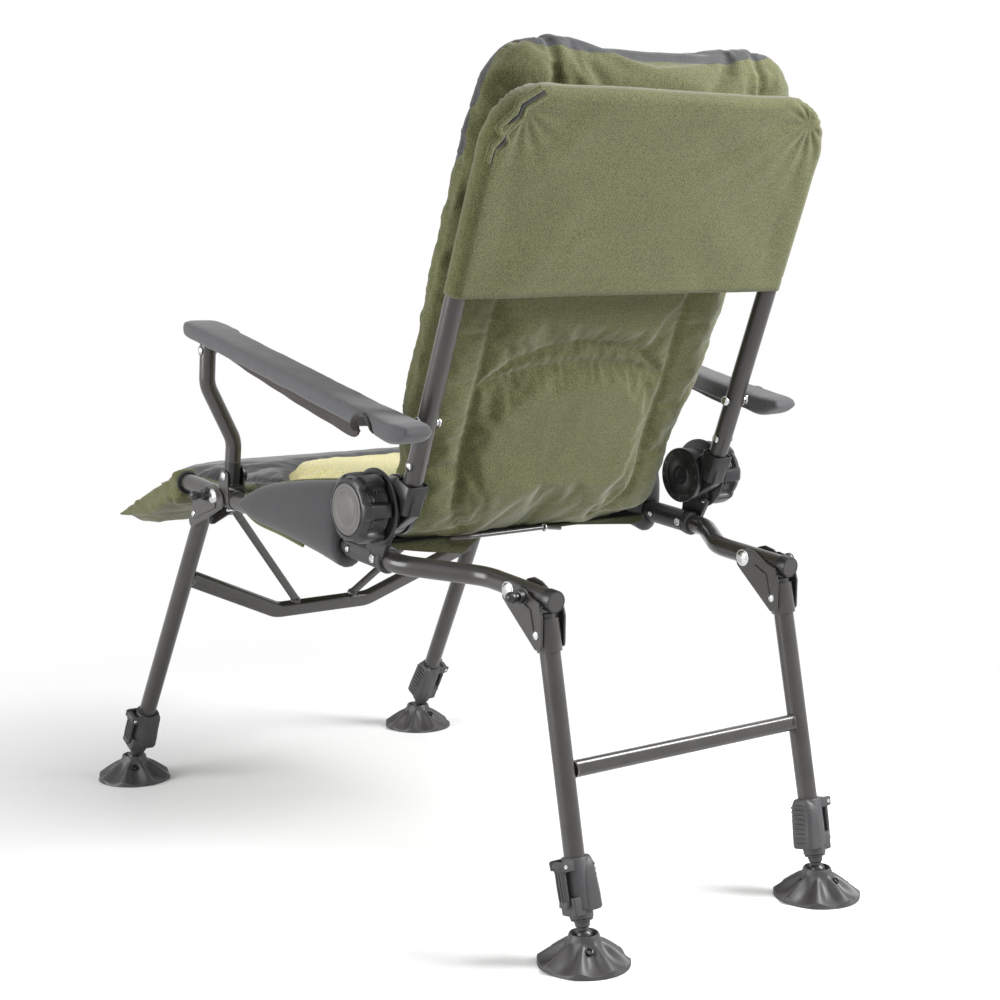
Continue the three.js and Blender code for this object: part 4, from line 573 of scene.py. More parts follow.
def knob():
    part = Part()
    turns = [2 * math.pi * i / 180 for i in range(180)]
    rings = []
    for along, radius, dip in KNOB:
        radii = [radius - lobe(a, dip) for a in turns]
        rings.append([V((274.8 + along, AXIS.y + r * math.cos(a), AXIS.z + r * math.sin(a))) for a, r in zip(turns, radii)])
    part.add(loft(rings), plastic)
    # the flat cap with a shallow bare ring
    part.turn(at_x(312.6, AXIS), 1, [(0, 31.9), (1.7, 31.6), (2.2, 30.8), (2.25, 27.6), (1.85, 27.2), (1.85, 26.6),
                                     (2.2, 26.2), (2.2, 20.4), (1.9, 20.0), (1.9, 19.6), (2.2, 19.2), (2.3, 0.5)],
              cap_plastic, 72)
    # ribs and dots in the hollows
    for k in range(6):
        a = (k * 60 + 30) * RAD
        radial, around = V((0, math.cos(a), math.sin(a))), V((0, -math.sin(a), math.cos(a)))
        for x in (283.5, 288.5, 293.5, 298.5):
            part.add(tube([at_x(x, AXIS) + radial * 35.3 + around * t for t in (-7.5, 7.5)], 0.95, 10), plastic)
        for t in (-4.5, 0, 4.5):
            part.turn(at_x(302.4, AXIS) + radial * 39.4 + around * t, 1, [(0, 0.9), (0.7, 0.7), (0.9, 0.3)],
                      soft_plastic, 10)
    part.add(disc(236, 276, AXIS, 5, 0.6), dark_steel)
    return part


# the stepped socket on the back tube: up, half width, half depth, corner
SOCKET = [(12, 12.8, 12.4, 5), (13.2, 13.8, 13.6, 5), (33, 14.2, 14.2, 5), (34.2, 15.8, 15.8, 5.5),
          (50.8, 15.8, 15.8, 5.5), (52, 15.0, 15.0, 5.2), (52, 13.6, 13.6, 4.6), (50, 13.2, 13.2, 4.4)]


def recliner_arm():
    part = Part()
    part.turn(at_x(241.5, AXIS), 1, [(0, 34.6), (1.2, 36), (17.2, 36), (18.6, 34.8), (18.9, 33.4)], plastic, 60)
    # the yoke that runs from the hub to the socket
    web = [(-26, 20), (-14, 34), (13, 56), (50, 54.5), (50, 24), (33, 12), (34, -4)]
    part.add(plate(rounded(yz(back_point(0, *p) for p in web), 5), 243.5, 258.5, 1.6), plastic)
    rib = [(-12, 22), (16, 44), (24, 26), (10, 14)]
    part.add(plate(rounded(yz(back_point(0, *p) for p in rib), 4), 257.5, 261.5, 1.2), plastic)
    part.add(loft([[back_point(BACK_X + a, up, BEHIND + b) for a, b in box_ring(half_x, half_b, corner)]
                   for up, half_x, half_b, corner in SOCKET]), plastic)
    return part


def hub_disc():
    part = Part()
    part.turn(at_x(241.1, AXIS), -1, [(0, 37.2), (1, 38), (6.2, 38), (7.1, 37), (7.1, 28.2), (6.4, 27.4), (5.2, 27.2),
                                      (5.2, 15.6), (5.9, 14.6), (7.1, 14), (7.1, 7.6), (6.4, 7)], plastic, 60)
    for k in range(12):
        a = k * 30 * RAD
        at = V((233.9, AXIS.y + 32.6 * math.cos(a), AXIS.z + 32.6 * math.sin(a)))
        part.turn(at, -1, [(-0.6, 2.2), (0.25, 2.1), (0.1, 1.5), (-0.4, 1.3)], dark_steel, 12)
    return part


def back_tube():
    part = Part().add(tube([back_point(BACK_X, up, BEHIND) for up in (17, 420)], TUBE, 36), paint)
    for side in (1, -1):
        rivet(part, back_point(0, 74.8, BEHIND), BACK_X + side * 12.1, side, 5.2, 2.6)
    return part


def back_top_tube():
    corners = [(BACK_X, 420.4), (BACK_X, 538), (-BACK_X, 538), (-BACK_X, 420.4)]
    return Part().add(tube(bent([back_point(x, up, BEHIND) for x, up in corners], 60, 12), TUBE, 36), paint)


# Armrest

POST_PIVOT, POST_RIVET = V((0, 25, 503)), V((0, 44, 680))
ARM_PIVOT, ARM_FRONT = back_point(0, 132.2, BEHIND), V((0, -2, 713))
ARM_ALONG = (ARM_FRONT - ARM_PIVOT).normalized()


def pad_line(y):
    return 713 + (y + 2) * ARM_ALONG.z / ARM_ALONG.y


def arm_post():
    line = [(SPACING, 25 - 14 / 12.5, 489), (SPACING, 32, 553), (ARM_X, 41, 633), (ARM_X, 46, 689)]
    part = Part().add(tube(bent(line, 42, 12), 11, 32, 1.0), paint)
    for side in (1, -1):
        rivet(part, POST_RIVET, ARM_X + side * 10.6, side, 5.2, 2.6)
    # the black sleeve round the foot of the post
    part.add(tube([(SPACING, 24.7, 494), (SPACING, 27.6, 516), (SPACING, 28.4, 524)], 11.35, 28, 0.8), plastic)
    return part


def post_bracket():
    part = Part().add(tube([seat_point(SPACING, y) for y in (12, 38)], 14.0, 36, 0.6), paint)
    ear = rounded([(12.4, 471), (37.6, 469), (37.2, 500), (33.5, 509.5), (25, 512.2), (16.5, 509.5), (12.8, 500)], 5)
    for x0, x1 in ((266.6, 268.8), (241.2, 243.4)):
        part.add(plate(ear, x0, x1, 0.5), paint)
    # the thick rounded boss inside the strap
    part.turn((243.6, 25, 505), -1, [(0, 13.4), (3, 13.2), (6.2, 12.2), (7.6, 9.8), (8, 7)], plastic, 36)
    rivet(part, POST_PIVOT, 268.6, 1, 6.0, 2.8, ring=False)
    rivet(part, POST_PIVOT, 236.0, -1, ring=False)
    part.add(disc(236, 268.8, POST_PIVOT, 4.4), dark_steel)
    # the screw that closes the strap below
    part.add(tube([(SPACING + side * 9, 25, 455.5) for side in (-1, 1)], 2.6, 12, 0.5), zinc)
    return part


def arm_bar():
    line = [V((ARM_X, 24, pad_line(24))), ARM_PIVOT - ARM_ALONG * 18 + V((ARM_X, 0, 0))]
    part = Part().add(loft(sections(line, box_ring(3, 9, 1.2), X)), zinc)
    part.add(disc(280, 299, ARM_PIVOT, 9, 1.2, 32), zinc)
    part.add(disc(237, 299, ARM_PIVOT, 4.7, 0.4, 24), zinc)
    part.turn(at_x(237.5, ARM_PIVOT), -1, [(0, 6.4), (1.2, 6.5), (3, 5.4), (4, 3)], zinc, 24)
    # washers where the pin enters and leaves the back tube
    part.add(disc(265.9, 267.4, ARM_PIVOT, 7.6, 0.5, 28), zinc)
    part.add(disc(272.5, 280, ARM_PIVOT, 6.6, 0.8, 6), zinc)
    return part


# the arm pad along y: its underside, its top and half its width, as shares of 14, 14 and 26 mm
PAD = [(y, pad_line(y) - low * 14, pad_line(y) + high * 14, wide * 26) for y, low, high, wide in (
    (15, 0.45, 0.5, 0.72), (18, 0.7, 0.76, 0.86), (26, 0.8, 0.9, 0.96), (48, 0.84, 0.98, 1), (120, 0.86, 0.98, 0.98),
    (255, 0.94, 0.9, 0.97), (362, 1.04, 0.82, 0.97), (441, 1.12, 0.78, 0.98), (489, 1.08, 0.8, 1), (514, 1.16, 0.84, 1),
    (532, 0.72, 0.92, 0.94), (548, -0.1, 0.86, 0.72))]


def between(table, y):
    """The row of a table at y, along a smooth curve through its rows."""
    y = min(max(y, table[0][0]), table[-1][0])
    i = max(1, next(k for k in range(1, len(table)) if table[k][0] >= y - 1e-9))
    a, b = table[i - 1], table[i]
    before, after = table[max(0, i - 2)], table[min(len(table) - 1, i + 1)]
    span = b[0] - a[0]
    t = (y - a[0]) / span
    row = [y]
    for k in range(1, len(a)):
        ma = (b[k] - before[k]) / (b[0] - before[0]) * span if i > 1 else b[k] - a[k]
        mb = (after[k] - a[k]) / (after[0] - a[0]) * span if i < len(table) - 1 else b[k] - a[k]
        row.append((2 * t ** 3 - 3 * t * t + 1) * a[k] + (t ** 3 - 2 * t * t + t) * ma
                   + (3 * t * t - 2 * t ** 3) * b[k] + (t ** 3 - t * t) * mb)
    return row


def arm_pad():
    """Flat on top, wider inside round the post, rounded at both ends."""
    rings = []
    shape = superellipse(72, 4.0)
    for y in [15, 15.5, 16.5, 18, 21, 25] + [30 + 6 * k for k in range(84)] + [533, 537, 541, 544, 546, 547.4, 548]:
        _, low, high, half = between(PAD, y)
        inside = half + 6 * (1 - smooth_step((y - 78) / 14))
        rings.append([V((ARM_X + a * (half if a > 0 else inside), y, (low + high) / 2 + b * (high - low) / 2))
                      for a, b in shape])
    return Part().add(loft(rings), pad_cloth)


HOLE_Y, HOLE_RADIUS = 465, 21
PAD_END = 488


def pad_cover(side, mirror):
    name = side + "_arm_pad"
    obj = arm_pad().make(name + "_cover", side + "_arm", [name], "grey_neoprene", mirror=mirror)
    low = between(PAD, HOLE_Y)[1]
    hole = Part().add(tube([(303.4, HOLE_Y, low), (345, HOLE_Y, low)], HOLE_RADIUS, 40), neoprene)
    cut_away(obj, hole.make("cutter", "seat", mirror=mirror), 0.0024)
    smoothed(obj, 4)
    points = coordinates(obj)
    seam = np.abs(points[:, 2] - np.interp(points[:, 1], [PAD_END, 514, 548], [608, 607, 616]))
    groove = -1.1 * np.exp(-(seam / 1.8) ** 2) * (points[:, 1] > PAD_END)
    dents = 0.7 * grainy(points, 46, 31.0) + 0.35 * grainy(points, 17, 32.0)
    set_coordinates(obj, points + normals(obj) * (groove + dents)[:, None])


# the loose edge below the arm pad: y, its top and its bottom below pad_line
LIP = [(108, 12, 9), (130, 12, 12.5), (180, 12, 17), (260, 13, 23.4), (340, 14, 27.4), (400, 15, 31), (424, 15, 32),
       (436, 16, 30), (443, 18, 25)]


def arm_pad_trim():
    """The bound hole at the rear outside, and the loose underside edge of the cover."""
    part = Part()
    _, low, high, half = between(PAD, HOLE_Y)
    line = []
    for k in range(25):
        turn = math.pi * (k / 24 * 1.1 - 0.05)
        z = low + max(0.5, HOLE_RADIUS * math.sin(turn))
        b = min(1, abs((z - (low + high) / 2) / ((high - low) / 2)))
        line.append(V((ARM_X + half * (1 - b ** 4) ** 0.25 + 0.3, HOLE_Y + HOLE_RADIUS * math.cos(turn), z)))
    part.add(loft(sections(line, box_ring(1.5, 3.4, 1.2), X)), binding)
    rings = []
    for y in range(108, 448, 5):
        _, top, drop = between(LIP, y)
        upper, lower = pad_line(y) - top + 4, pad_line(y) - drop
        wave = 0.8 * math.sin(y / 23) + 0.5 * math.sin(y / 9)
        middle, tall = (upper + lower) / 2, (upper - lower) / 2
        rings.append([V((315.5 + wave * (0.5 - b / tall / 2) + a, y, middle + b)) for a, b in box_ring(1.3, tall, 1.2)])
    return part.add(loft(rings), binding)


# Legs


def leg_bracket(part, outline, to_point, x, gap, lock, bolt, bead):
    """Two plates with a raised bead, the lock pin's collar and the bolt; outlines are (down, away)."""
    cheek = rounded(yz(to_point(0, *p) for p in outline), 5)
    ridge = rounded(yz(to_point(0, *p) for p in bead), 3)
    outer = gap + 3
    for x0, x1 in ((x + gap, x + outer), (x - outer, x - gap)):
        part.add(plate(cheek, x0, x1, 0.8), paint)
    for x0, x1 in ((x + outer - 0.5, x + outer + 1.6), (x - outer - 1.6, x - outer + 0.5)):
        part.add(plate(ridge, x0, x1, 1.0), paint)
    part.turn(at_x(x + outer - 0.4, lock), 1, [(0, 10.5), (1.4, 10.2), (1.8, 8.2), (8, 7.8), (8.5, 7), (8.5, 4.7)], plastic)
    for side in (1, -1):
        rivet(part, bolt, x + side * (outer - 0.2), side, 5.0, 2.4)
    part.add(disc(x - outer, x + outer, bolt, 4.6), dark_steel)


def leg_tube(axis_point, top, ball):
    a, b = axis_point(top), axis_point(ball - 93.5 + 71 - 0.6)
    length = (b - a).length
    profile = [(0.6, 10.2), (0, 11.2), (0, 11.7), (0.8, 12.5), (length - 0.8, 12.5), (length, 11.7), (length, 11.2),
               (length - 2, 11.1)]
    return Part().turn(a, b - a, profile, paint, 36)


def front_leg():
    part = leg_tube(front_axis, 36, FRONT_BALL)
    outline = [(36, 46), (72, 44), (77, 36), (70, 27), (0, -28), (-12, -26), (-18, -16), (-17, 6), (-4, 24)]
    bead = [(60, 39), (64, 35), (10, -14), (2, -12), (2, 0)]
    leg_bracket(part, outline, front_point, SPACING, 14.2, seat_point(0, -18), front_point(0, 55, FRONT_AWAY), bead)
    # the bent web that closes the bracket in front of the leg
    top, low = front_point(0, 40, 46.5), front_point(0, 71, 45)
    thick = V((0, -0.6, 2.4))
    web = rounded(yz([top, low, low + thick, top + thick]), 0.5)
    return part.add(plate(web, SPACING - 15, SPACING + 15, 0.5), paint)


def rear_leg():
    part = leg_tube(rear_axis, 31, REAR_BALL)
    a, b = rear_axis(37), rear_axis(76)
    part.turn(a, b - a, [(0, 13), (0, 14.6), (0.7, 15.2), (38.4, 15.2), (39.2, 14.6), (39.2, 13)], paint, 40)
    outline = [(-11, -6), (-12, 8), (-6, 22), (8, 38), (18, 56), (36, 58), (72, 50), (73, 38), (20, -4), (8, -13), (-4, -13)]
    bead = [(14, 8), (10, 22), (24, 40), (58, 42), (60, 38)]
    leg_bracket(part, outline, rear_point, REAR_SPACING, 15.6, seat_point(0, 630), rear_point(0, 55, REAR_AWAY), bead)
    return part


def flat_oval(half_a, half_b, share=0.6, steps=6):
    return box_ring(half_a, half_b, min(half_a, half_b) * share, steps)


def away_of(to_point):
    return (to_point(0, 0, 1) - to_point(0, 0, 0)).normalized()


def front_cross_bar():
    end = SPACING + FRONT_SPREAD * 172 / FRONT_BALL - 8
    corners = [front_point(x, down, FRONT_AWAY) for x, down in ((end, 172), (82, 256), (-82, 256), (-end, 172))]
    part = Part().add(loft(sections(bent(corners, 40, 10), flat_oval(7.5, 12), away_of(front_point))), paint)
    for side in (1, -1):
        # weld seams where the thin struts land, and at the ends
        spot, over = (front_point(side * 52, down, FRONT_AWAY) for down in (244, 0))
        part.turn(spot, over - spot, [(-2, 5), (3, 8.4), (6, 7.2), (8, 5)], paint, 16)
        part.turn(front_point(side * (end + 1.5), 172.5, FRONT_AWAY), (-side, 0, -0.35),
                  [(0, 11.5), (6, 10.5), (9, 8.2)], paint, 20)
    return part


def front_strut():
    low, top = front_point(52, 240, FRONT_AWAY), front_point(236.9 - 6, 25, 28)
    along = (top - low).normalized()
    line = [low, low + along * 2, low + (top - low) * 0.5, top - along * 22, top - along * 14, top]
    halves = [(4, 6)] * 4 + [(2.8, 7.2), (2.6, 7.4)]
    return Part().add(loft(sections(line, lambda i: flat_oval(*halves[i], 0.7, 4), away_of(front_point))), paint)


def rear_cross_bar():
    x = REAR_SPACING + REAR_SPREAD * 216 / REAR_BALL - 12.9
    line = [rear_point(side * x, 216, REAR_AWAY) for side in (1, -1)]
    part = Part().add(loft(sections(line, flat_oval(8, 10, 0.7), away_of(rear_point))), paint)
    for side in (1, -1):
        part.turn(rear_point(side * (x + 1), 216, REAR_AWAY), -side, [(0, 11.4), (2.5, 10.6), (4.5, 9)], paint, 28)
    return part


def lock_pin(lock, x):
    ball = at_x(x + 36, lock)
    part = Part().add(disc(x + 12.9, ball.x, lock, 3.9, 0.4, 24), zinc)
    globe = [(7.2 * math.sin(a * RAD), max(0.3, 7.2 * math.cos(a * RAD))) for a in range(-80, 91, 10)]
    part.turn(ball, 1, globe, plastic, 36)
    part.turn(ball, 1, [(-9.2, 4.4), (-8.8, 5.2), (-6, 5.2), (-4, 5.6)], plastic, 28)
    return part


# The foot end of a leg: up from the ball, outwards and to the rear


def end_frame(axis_point, ball_at):
    ball = axis_point(ball_at)
    up = (axis_point(0) - ball).normalized()
    outer = (X - up * up.x).normalized()
    return ball, up, outer, up.cross(outer)


def at_end(end, up, outer=0.0, rear=0.0):
    return end[0] + end[1] * up + end[2] * outer + end[3] * rear


def end_loft(end, stations, corner, steps=4, rear=0.0):
    """stations: up, from outer, to outer, half rear width."""
    rings = []
    for up, o0, o1, half in stations:
        ring = box_ring((o1 - o0) / 2, half, min(corner, (o1 - o0) / 2 * 0.95, half * 0.95), steps)
        rings.append([at_end(end, up, (o0 + o1) / 2 + a, rear + b) for a, b in ring])
    return loft(rings)


LEVER_AXIS = (86.5, 24)


def clamp(end):
    part = Part()
    # the collar round the leg and the neck round the telescoping tube
    part.turn(end[0], end[1], [(22.5, 12.2), (22.5, 13.4), (23.4, 14.2), (34, 14.4), (34.6, 16.2), (92, 16.4),
                               (93.5, 15.6), (93.5, 13.2)], soft_plastic, 40)
    # the shell on the inner side, wider towards the foot, with a rounded top
    shell = [(31, -18, 2, 15), (32, -21.5, 4, 17), (34.5, -22.6, 4, 17.6), (50, -21.4, 4, 17.8), (66, -19.6, 4, 17.6),
             (80, -18.4, 3, 17), (88, -17.6, 0, 15.4), (93, -17, -4, 12), (94.4, -16, -7, 9)]
    part.add(end_loft(end, shell, 7, 5), soft_plastic)
    # finger grips round the shell
    for k in range(9):
        h = 38 + k * 5.9
        reach = -21.6 + (h - 38) * 0.067
        grip = [(-1.8, 3.5, -15.5), (0, -0.1, -8), (0.9, -0.5, 0), (0, -0.1, 8), (-1.8, 3.5, 15.5)]
        part.add(tube([at_end(end, h + up, reach + out, rear) for up, out, rear in grip], 1.7, 12, 0.6), soft_plastic)
    # the skirt below the lever and the two lugs that hold it
    skirt = [(27, 2, 17.4, 12.6), (28, 1, 18.6, 13.6), (47, 1, 19.4, 13.8), (49, 2, 19, 13.2)]
    part.add(end_loft(end, skirt, 3), soft_plastic)
    lug = [(80.5, 8, 25, 1.4), (81.5, 8, 28.6, 1.6), (91, 8, 29.4, 1.6), (92.4, 8, 27, 1.4)]
    for side in (1, -1):
        part.add(end_loft(end, lug, 1.2, 3, side * 10.6), soft_plastic)
        part.turn(at_end(end, *LEVER_AXIS, side * 12), end[3] * side, [(0, 2.6), (0.7, 2.4), (1, 1.2)], zinc, 16)
    return part.add(tube([at_end(end, *LEVER_AXIS, rear) for rear in (-12.1, 12.1)], 2.1, 14), dark_steel)


# up, middle outwards, half thickness, half width
LEVER = [(91, 24.5, 3.0, 5.5), (88, 24.8, 4.6, 8.2), (84, 24.4, 4.2, 8.4), (78, 23.6, 2.7, 8.5), (66, 23.4, 2.6, 8.5),
         (54, 22.8, 2.5, 8.5), (46, 22.0, 2.5, 8.4), (42, 22.3, 2.7, 8.3), (39.2, 23.4, 2.4, 8.0), (38.2, 24.0, 1.6, 7.4)]


def lever(end):
    stations = [(up, mid - thick, mid + thick, half) for up, mid, thick, half in LEVER]
    part = Part().add(end_loft(end, stations, 2.2), soft_plastic)
    for rear in (-4.6, 0.4, 5.2):
        rib = [at_end(end, up, out, rear) for up, out in ((86, 28.4), (78, 26.2), (66, 26.0), (54, 25.4), (45, 24.6))]
        part.add(tube(rib, 1.5, 12, 0.8), soft_plastic)
    return part.add(tube([at_end(end, *LEVER_AXIS, rear) for rear in (-8.6, 8.6)], 5, 24, 0.8), soft_plastic)


def inner_leg(end):
    part = Part()
    ball, up = end[:2]
    part.turn(ball, up, [(20.6, 10.4), (21, 10.8), (213, 10.8), (214.6, 10.2), (215, 8)], zinc)
    part.turn(ball, up, [(8, 6.8), (11.5, 6.8), (13, 8.6), (19, 9.6), (20, 12.6), (20.6, 13.4), (22.0, 13.4), (22.4, 12)],
              soft_plastic, 36)
    globe = [(11 * math.sin(a * RAD), max(0.3, 11 * math.cos(a * RAD))) for a in range(-90, 86, 8)]
    part.turn(ball, (0, 0, 1), globe, plastic, 40)
    # the screw that fastens the ball
    out = V((0.4, 0.86, 0.1))
    part.turn(ball + out.normalized() * 10.6, out, [(-0.6, 3.4), (0.7, 3.2), (0.9, 2.4), (0.2, 1.9)], dark_steel, 18)
    return part


# radius, height, depth of the eight folds
FOOT = [(55, 0.0, 0.8), (55.2, 1.6, 4.6), (54.6, 3.2, 5.0), (52, 4.4, 5.4), (46, 6.4, 8.0), (38, 10.8, 9.0),
        (31, 16.2, 8.0), (25, 21.8, 5.4), (21, 27.5, 2.0), (19, 32, 0.8), (18.2, 36, 0), (17.2, 37.6, 0), (15.9, 38, 0),
        (15.2, 37, 0), (13.6, 33, 0), (12.0, 29, 0)]


def foot(end):
    cx, cy = end[0].x, end[0].y
    rings = []
    for radius, height, wave in FOOT:
        ring = []
        for i in range(144):
            a = 2 * math.pi * i / 144
            crest = (0.5 + 0.5 * math.cos(8 * a)) ** 1.5
            r = radius * (1 - 0.035 * (1 - crest) * wave / 5)
            ring.append(V((cx + r * math.cos(a), cy + r * math.sin(a), height + wave * crest)))
        rings.append(ring)
    part = Part().add(loft(rings), foot_plastic)
    # the pierced ears beside the ball
    for k in range(3):
        a = (k * 120 + 65) * RAD
        at = V((cx + 26 * math.cos(a), cy + 26 * math.sin(a), 24.4))
        normal = V((math.cos(a) * 0.62, math.sin(a) * 0.62, 0.78))
        part.turn(at, normal, [(-2, 4.6), (0.4, 4.4), (0.7, 3.4), (-0.6, 2.9), (-1.6, 2.6)], plastic, 20)
    return part


# Soft parts


def modify(obj, name, kind, **settings):
    made = obj.modifiers.new(name, kind)
    for key, value in settings.items():
        setattr(made, key, value)
    return made


def applied(obj):
    """Bakes the modifiers of obj into its mesh."""
    graph = bpy.context.evaluated_depsgraph_get()
    mesh = bpy.data.meshes.new_from_object(obj.evaluated_get(graph), depsgraph=graph)
    obj.modifiers.clear()
    old, obj.data = obj.data, mesh
    bpy.data.meshes.remove(old)


def cut_away(obj, tool, size):
    """Takes the tool's body out of obj and evens the faces."""
    modify(obj, "cut", "BOOLEAN", operation="DIFFERENCE", solver="EXACT", object=tool)
    applied(obj)
    bpy.data.objects.remove(tool)
    remeshed(obj, size)


def remeshed(obj, size):
    modify(obj, "remesh", "REMESH", mode="VOXEL", voxel_size=size, use_smooth_shade=True)
    applied(obj)


def smoothed(obj, repeat):
    modify(obj, "smooth", "SMOOTH", factor=0.5, iterations=repeat)
    applied(obj)


def coordinates(obj):
    """The points of obj in mm, one row each."""
    co = np.empty(len(obj.data.vertices) * 3, np.float32)
    obj.data.vertices.foreach_get("co", co)
    points = co.reshape(-1, 3).astype(float) * 1000
    points[:, 1] += SHIFT
    return points


def normals(obj):
    found = np.empty(len(obj.data.vertices) * 3, np.float32)
    obj.data.vertex_normals.foreach_get("vector", found)
    return found.reshape(-1, 3).astype(float)


def row_points(points):
    moved = points.copy()
    moved[:, 1] -= SHIFT
    return moved / 1000


def set_coordinates(obj, points):
    obj.data.vertices.foreach_set("co", row_points(points).astype(np.float32).ravel())
    obj.data.update()


def store(obj, name, values):
    kind, field = ("FLOAT_VECTOR", "vector") if values.ndim == 2 else ("FLOAT", "value")
    attribute = obj.data.attributes.get(name) or obj.data.attributes.new(name, kind, "POINT")
    attribute.data.foreach_set(field, values.astype(np.float32).ravel())


def grainy(points, size, seed):
    """Smooth noise from -1 to 1 at each point, with lumps of about the given size in mm."""
    shift = V((seed, seed * 1.7, seed * 0.6))
    return np.array([noise.noise(V(p) / size + shift) for p in points])


def inflated(obj, pinned):
    """Cloth under pressure with its seams held, so that the pad swells and the seams pucker."""
    cap, steps = 12, 20
    start = coordinates(obj)
    group = obj.vertex_groups.new(name="pin")
    for weight in (0.35, 0.7, 1.0):
        held = np.where(np.abs(pinned - weight) < 0.175)[0]
        group.add([int(i) for i in held], weight, "REPLACE")
    made = obj.modifiers.new("cloth", "CLOTH")
    for key, value in dict(quality=6, mass=0.35, tension_stiffness=18, compression_stiffness=18, shear_stiffness=8,
                           bending_stiffness=0.4, use_pressure=True, uniform_pressure_force=3.2, shrink_min=-0.035,
                           vertex_group_mass="pin").items():
        setattr(made.settings, key, value)
    made.settings.effector_weights.gravity = 0
    made.collision_settings.use_collision = False
    made.point_cache.frame_start, made.point_cache.frame_end = 1, steps
    for step in range(1, steps + 1):
        bpy.context.scene.frame_set(step)
    applied(obj)
    bpy.context.scene.frame_set(1)
    obj.vertex_groups.clear()
    move = coordinates(obj) - start
    far = np.linalg.norm(move, axis=1)
    set_coordinates(obj, start + move * np.minimum(1, cap / np.maximum(far, 1e-6))[:, None])


# The mattress is one long pad from the knees over the bend up to the head

# y, bottom, top
SEAT = [(-262, 446, 463), (-256, 444, 473), (-236, 445, 481), (-205, 450.5, 484), (-175, 455, 487), (-140, 460, 493),
        (-112, 463, 497), (-84, 451, 498), (-40, 450, 501), (60, 450, 503), (180, 449.5, 506), (270, 449, 512),
        (312, 449, 517)]
# y, z, half thickness, angle in degrees
BEND = [(350, 480, 30, 14), (367, 488, 32, 36), (378, 508, 35, 56), (387, 535, 37, 66), (395, 562, 36, 69)]
# up, front, rear, half width
BACK = [(85, -72, -1, 231), (140, -64, 1, 240), (260, -58, 3, 246), (380, -58, 10, 248), (470, -57, 22, 247),
        (515, -56, 22, 243), (546, -55, 20, 235), (570, -51, 12, 224), (584, -45, 3, 207), (591, -38, -8, 188),
        (594, -34, -12, 172)]


def mattress_stations():
    """Rows of run along the mattress, y, z, angle in degrees, half thickness and half width."""
    rows = [[y, (low + top) / 2, 0, (top - low) / 2, 232] for y, low, top in SEAT]
    rows += [[y, z, angle, half, 224] for y, z, half, angle in BEND]
    for up, front, rear, wide in BACK:
        p = back_point(0, up, (front + rear) / 2)
        rows.append([p.y, p.z, 90 - LEAN_DEGREES, (rear - front) / 2, wide])
    table, run = [[0.0] + rows[0]], 0.0
    for last, row in zip(rows, rows[1:]):
        run += math.hypot(row[0] - last[0], row[1] - last[1])
        table.append([run] + row)
    return table


STATIONS = mattress_stations()
COUNT = 150
FINE = [between(STATIONS, STATIONS[-1][0] * i / COUNT) for i in range(COUNT + 1)]
FINE_ARRAY = np.array(FINE)


def pad_section(half, wide, rim):
    """Across and normal offsets round a pad whose sides draw in to a seam."""
    ring = []
    sides, steps = 96, 48
    for i in range(sides):
        top = i < steps
        t = (i + 0.5) / steps if top else (sides - i - 0.5) / steps
        across = math.cos(t * math.pi)
        full = rim * (1 - abs(across) ** 14) ** 0.5 + (1 - rim) * (1 - abs(across) ** 7)
        ring.append((wide * across, (half if top else -half) * full))
    return ring


def mattress_mesh():
    shrink = 4.0  # room for the swelling
    rings = []
    for k, (_, y, z, angle, half, wide) in enumerate(FINE):
        end = min(k, COUNT - k)
        taper = 1 if end > 3 else (0.55, 0.82, 0.93, 0.98)[end]
        normal = V((0, -math.sin(angle * RAD), math.cos(angle * RAD)))
        rim = 0.34 + 0.5 * smooth_step((z - 500) / 80)
        section = pad_section((half - shrink) * taper, wide - shrink - (1 - taper) * 14, rim)
        rings.append([V((a, y, z)) + normal * b for a, b in section])
    return loft(rings)


def pad_place(points):
    """For each point its run along the mattress, its place on the pad's normal and the half width there."""
    found = np.empty(len(points), int)
    for at in range(0, len(points), 8000):
        chunk = points[at:at + 8000]
        d = (chunk[:, 1, None] - FINE_ARRAY[None, :, 1]) ** 2 + (chunk[:, 2, None] - FINE_ARRAY[None, :, 2]) ** 2
        found[at:at + 8000] = d.argmin(axis=1)
    row = FINE_ARRAY[found]
    angle = np.radians(row[:, 3])
    offset = -(points[:, 1] - row[:, 1]) * np.sin(angle) + (points[:, 2] - row[:, 2]) * np.cos(angle)
    return row[:, 0], offset, row[:, 5]


def nearest_line(a, b, lines):
    """Distance from each (a, b) to the nearest of the lines of points, and how far along it."""
    best, along = np.full(len(a), 1e9), np.zeros(len(a))
    for line in lines:
        run = 0.0
        for (a0, b0), (a1, b1) in zip(line, line[1:]):
            da, db = a1 - a0, b1 - b0
            span = math.hypot(da, db)
            t = np.clip(((a - a0) * da + (b - b0) * db) / (span * span), 0, 1)
            d = np.hypot(a - a0 - t * da, b - b0 - t * db)
            near = d < best
            best[near], along[near] = d[near], (run + t * span)[near]
            run += span
    return best, along


def back_place(points):
    """Across, up and behind for each point."""
    s, c = math.sin(LEAN), math.cos(LEAN)
    y, z = points[:, 1] - AXIS.y, points[:, 2] - AXIS.z
    return points[:, 0], y * s + z * c, y * c - z * s


def both_sides(line):
    return [line, [(-a, b) for a, b in line]]


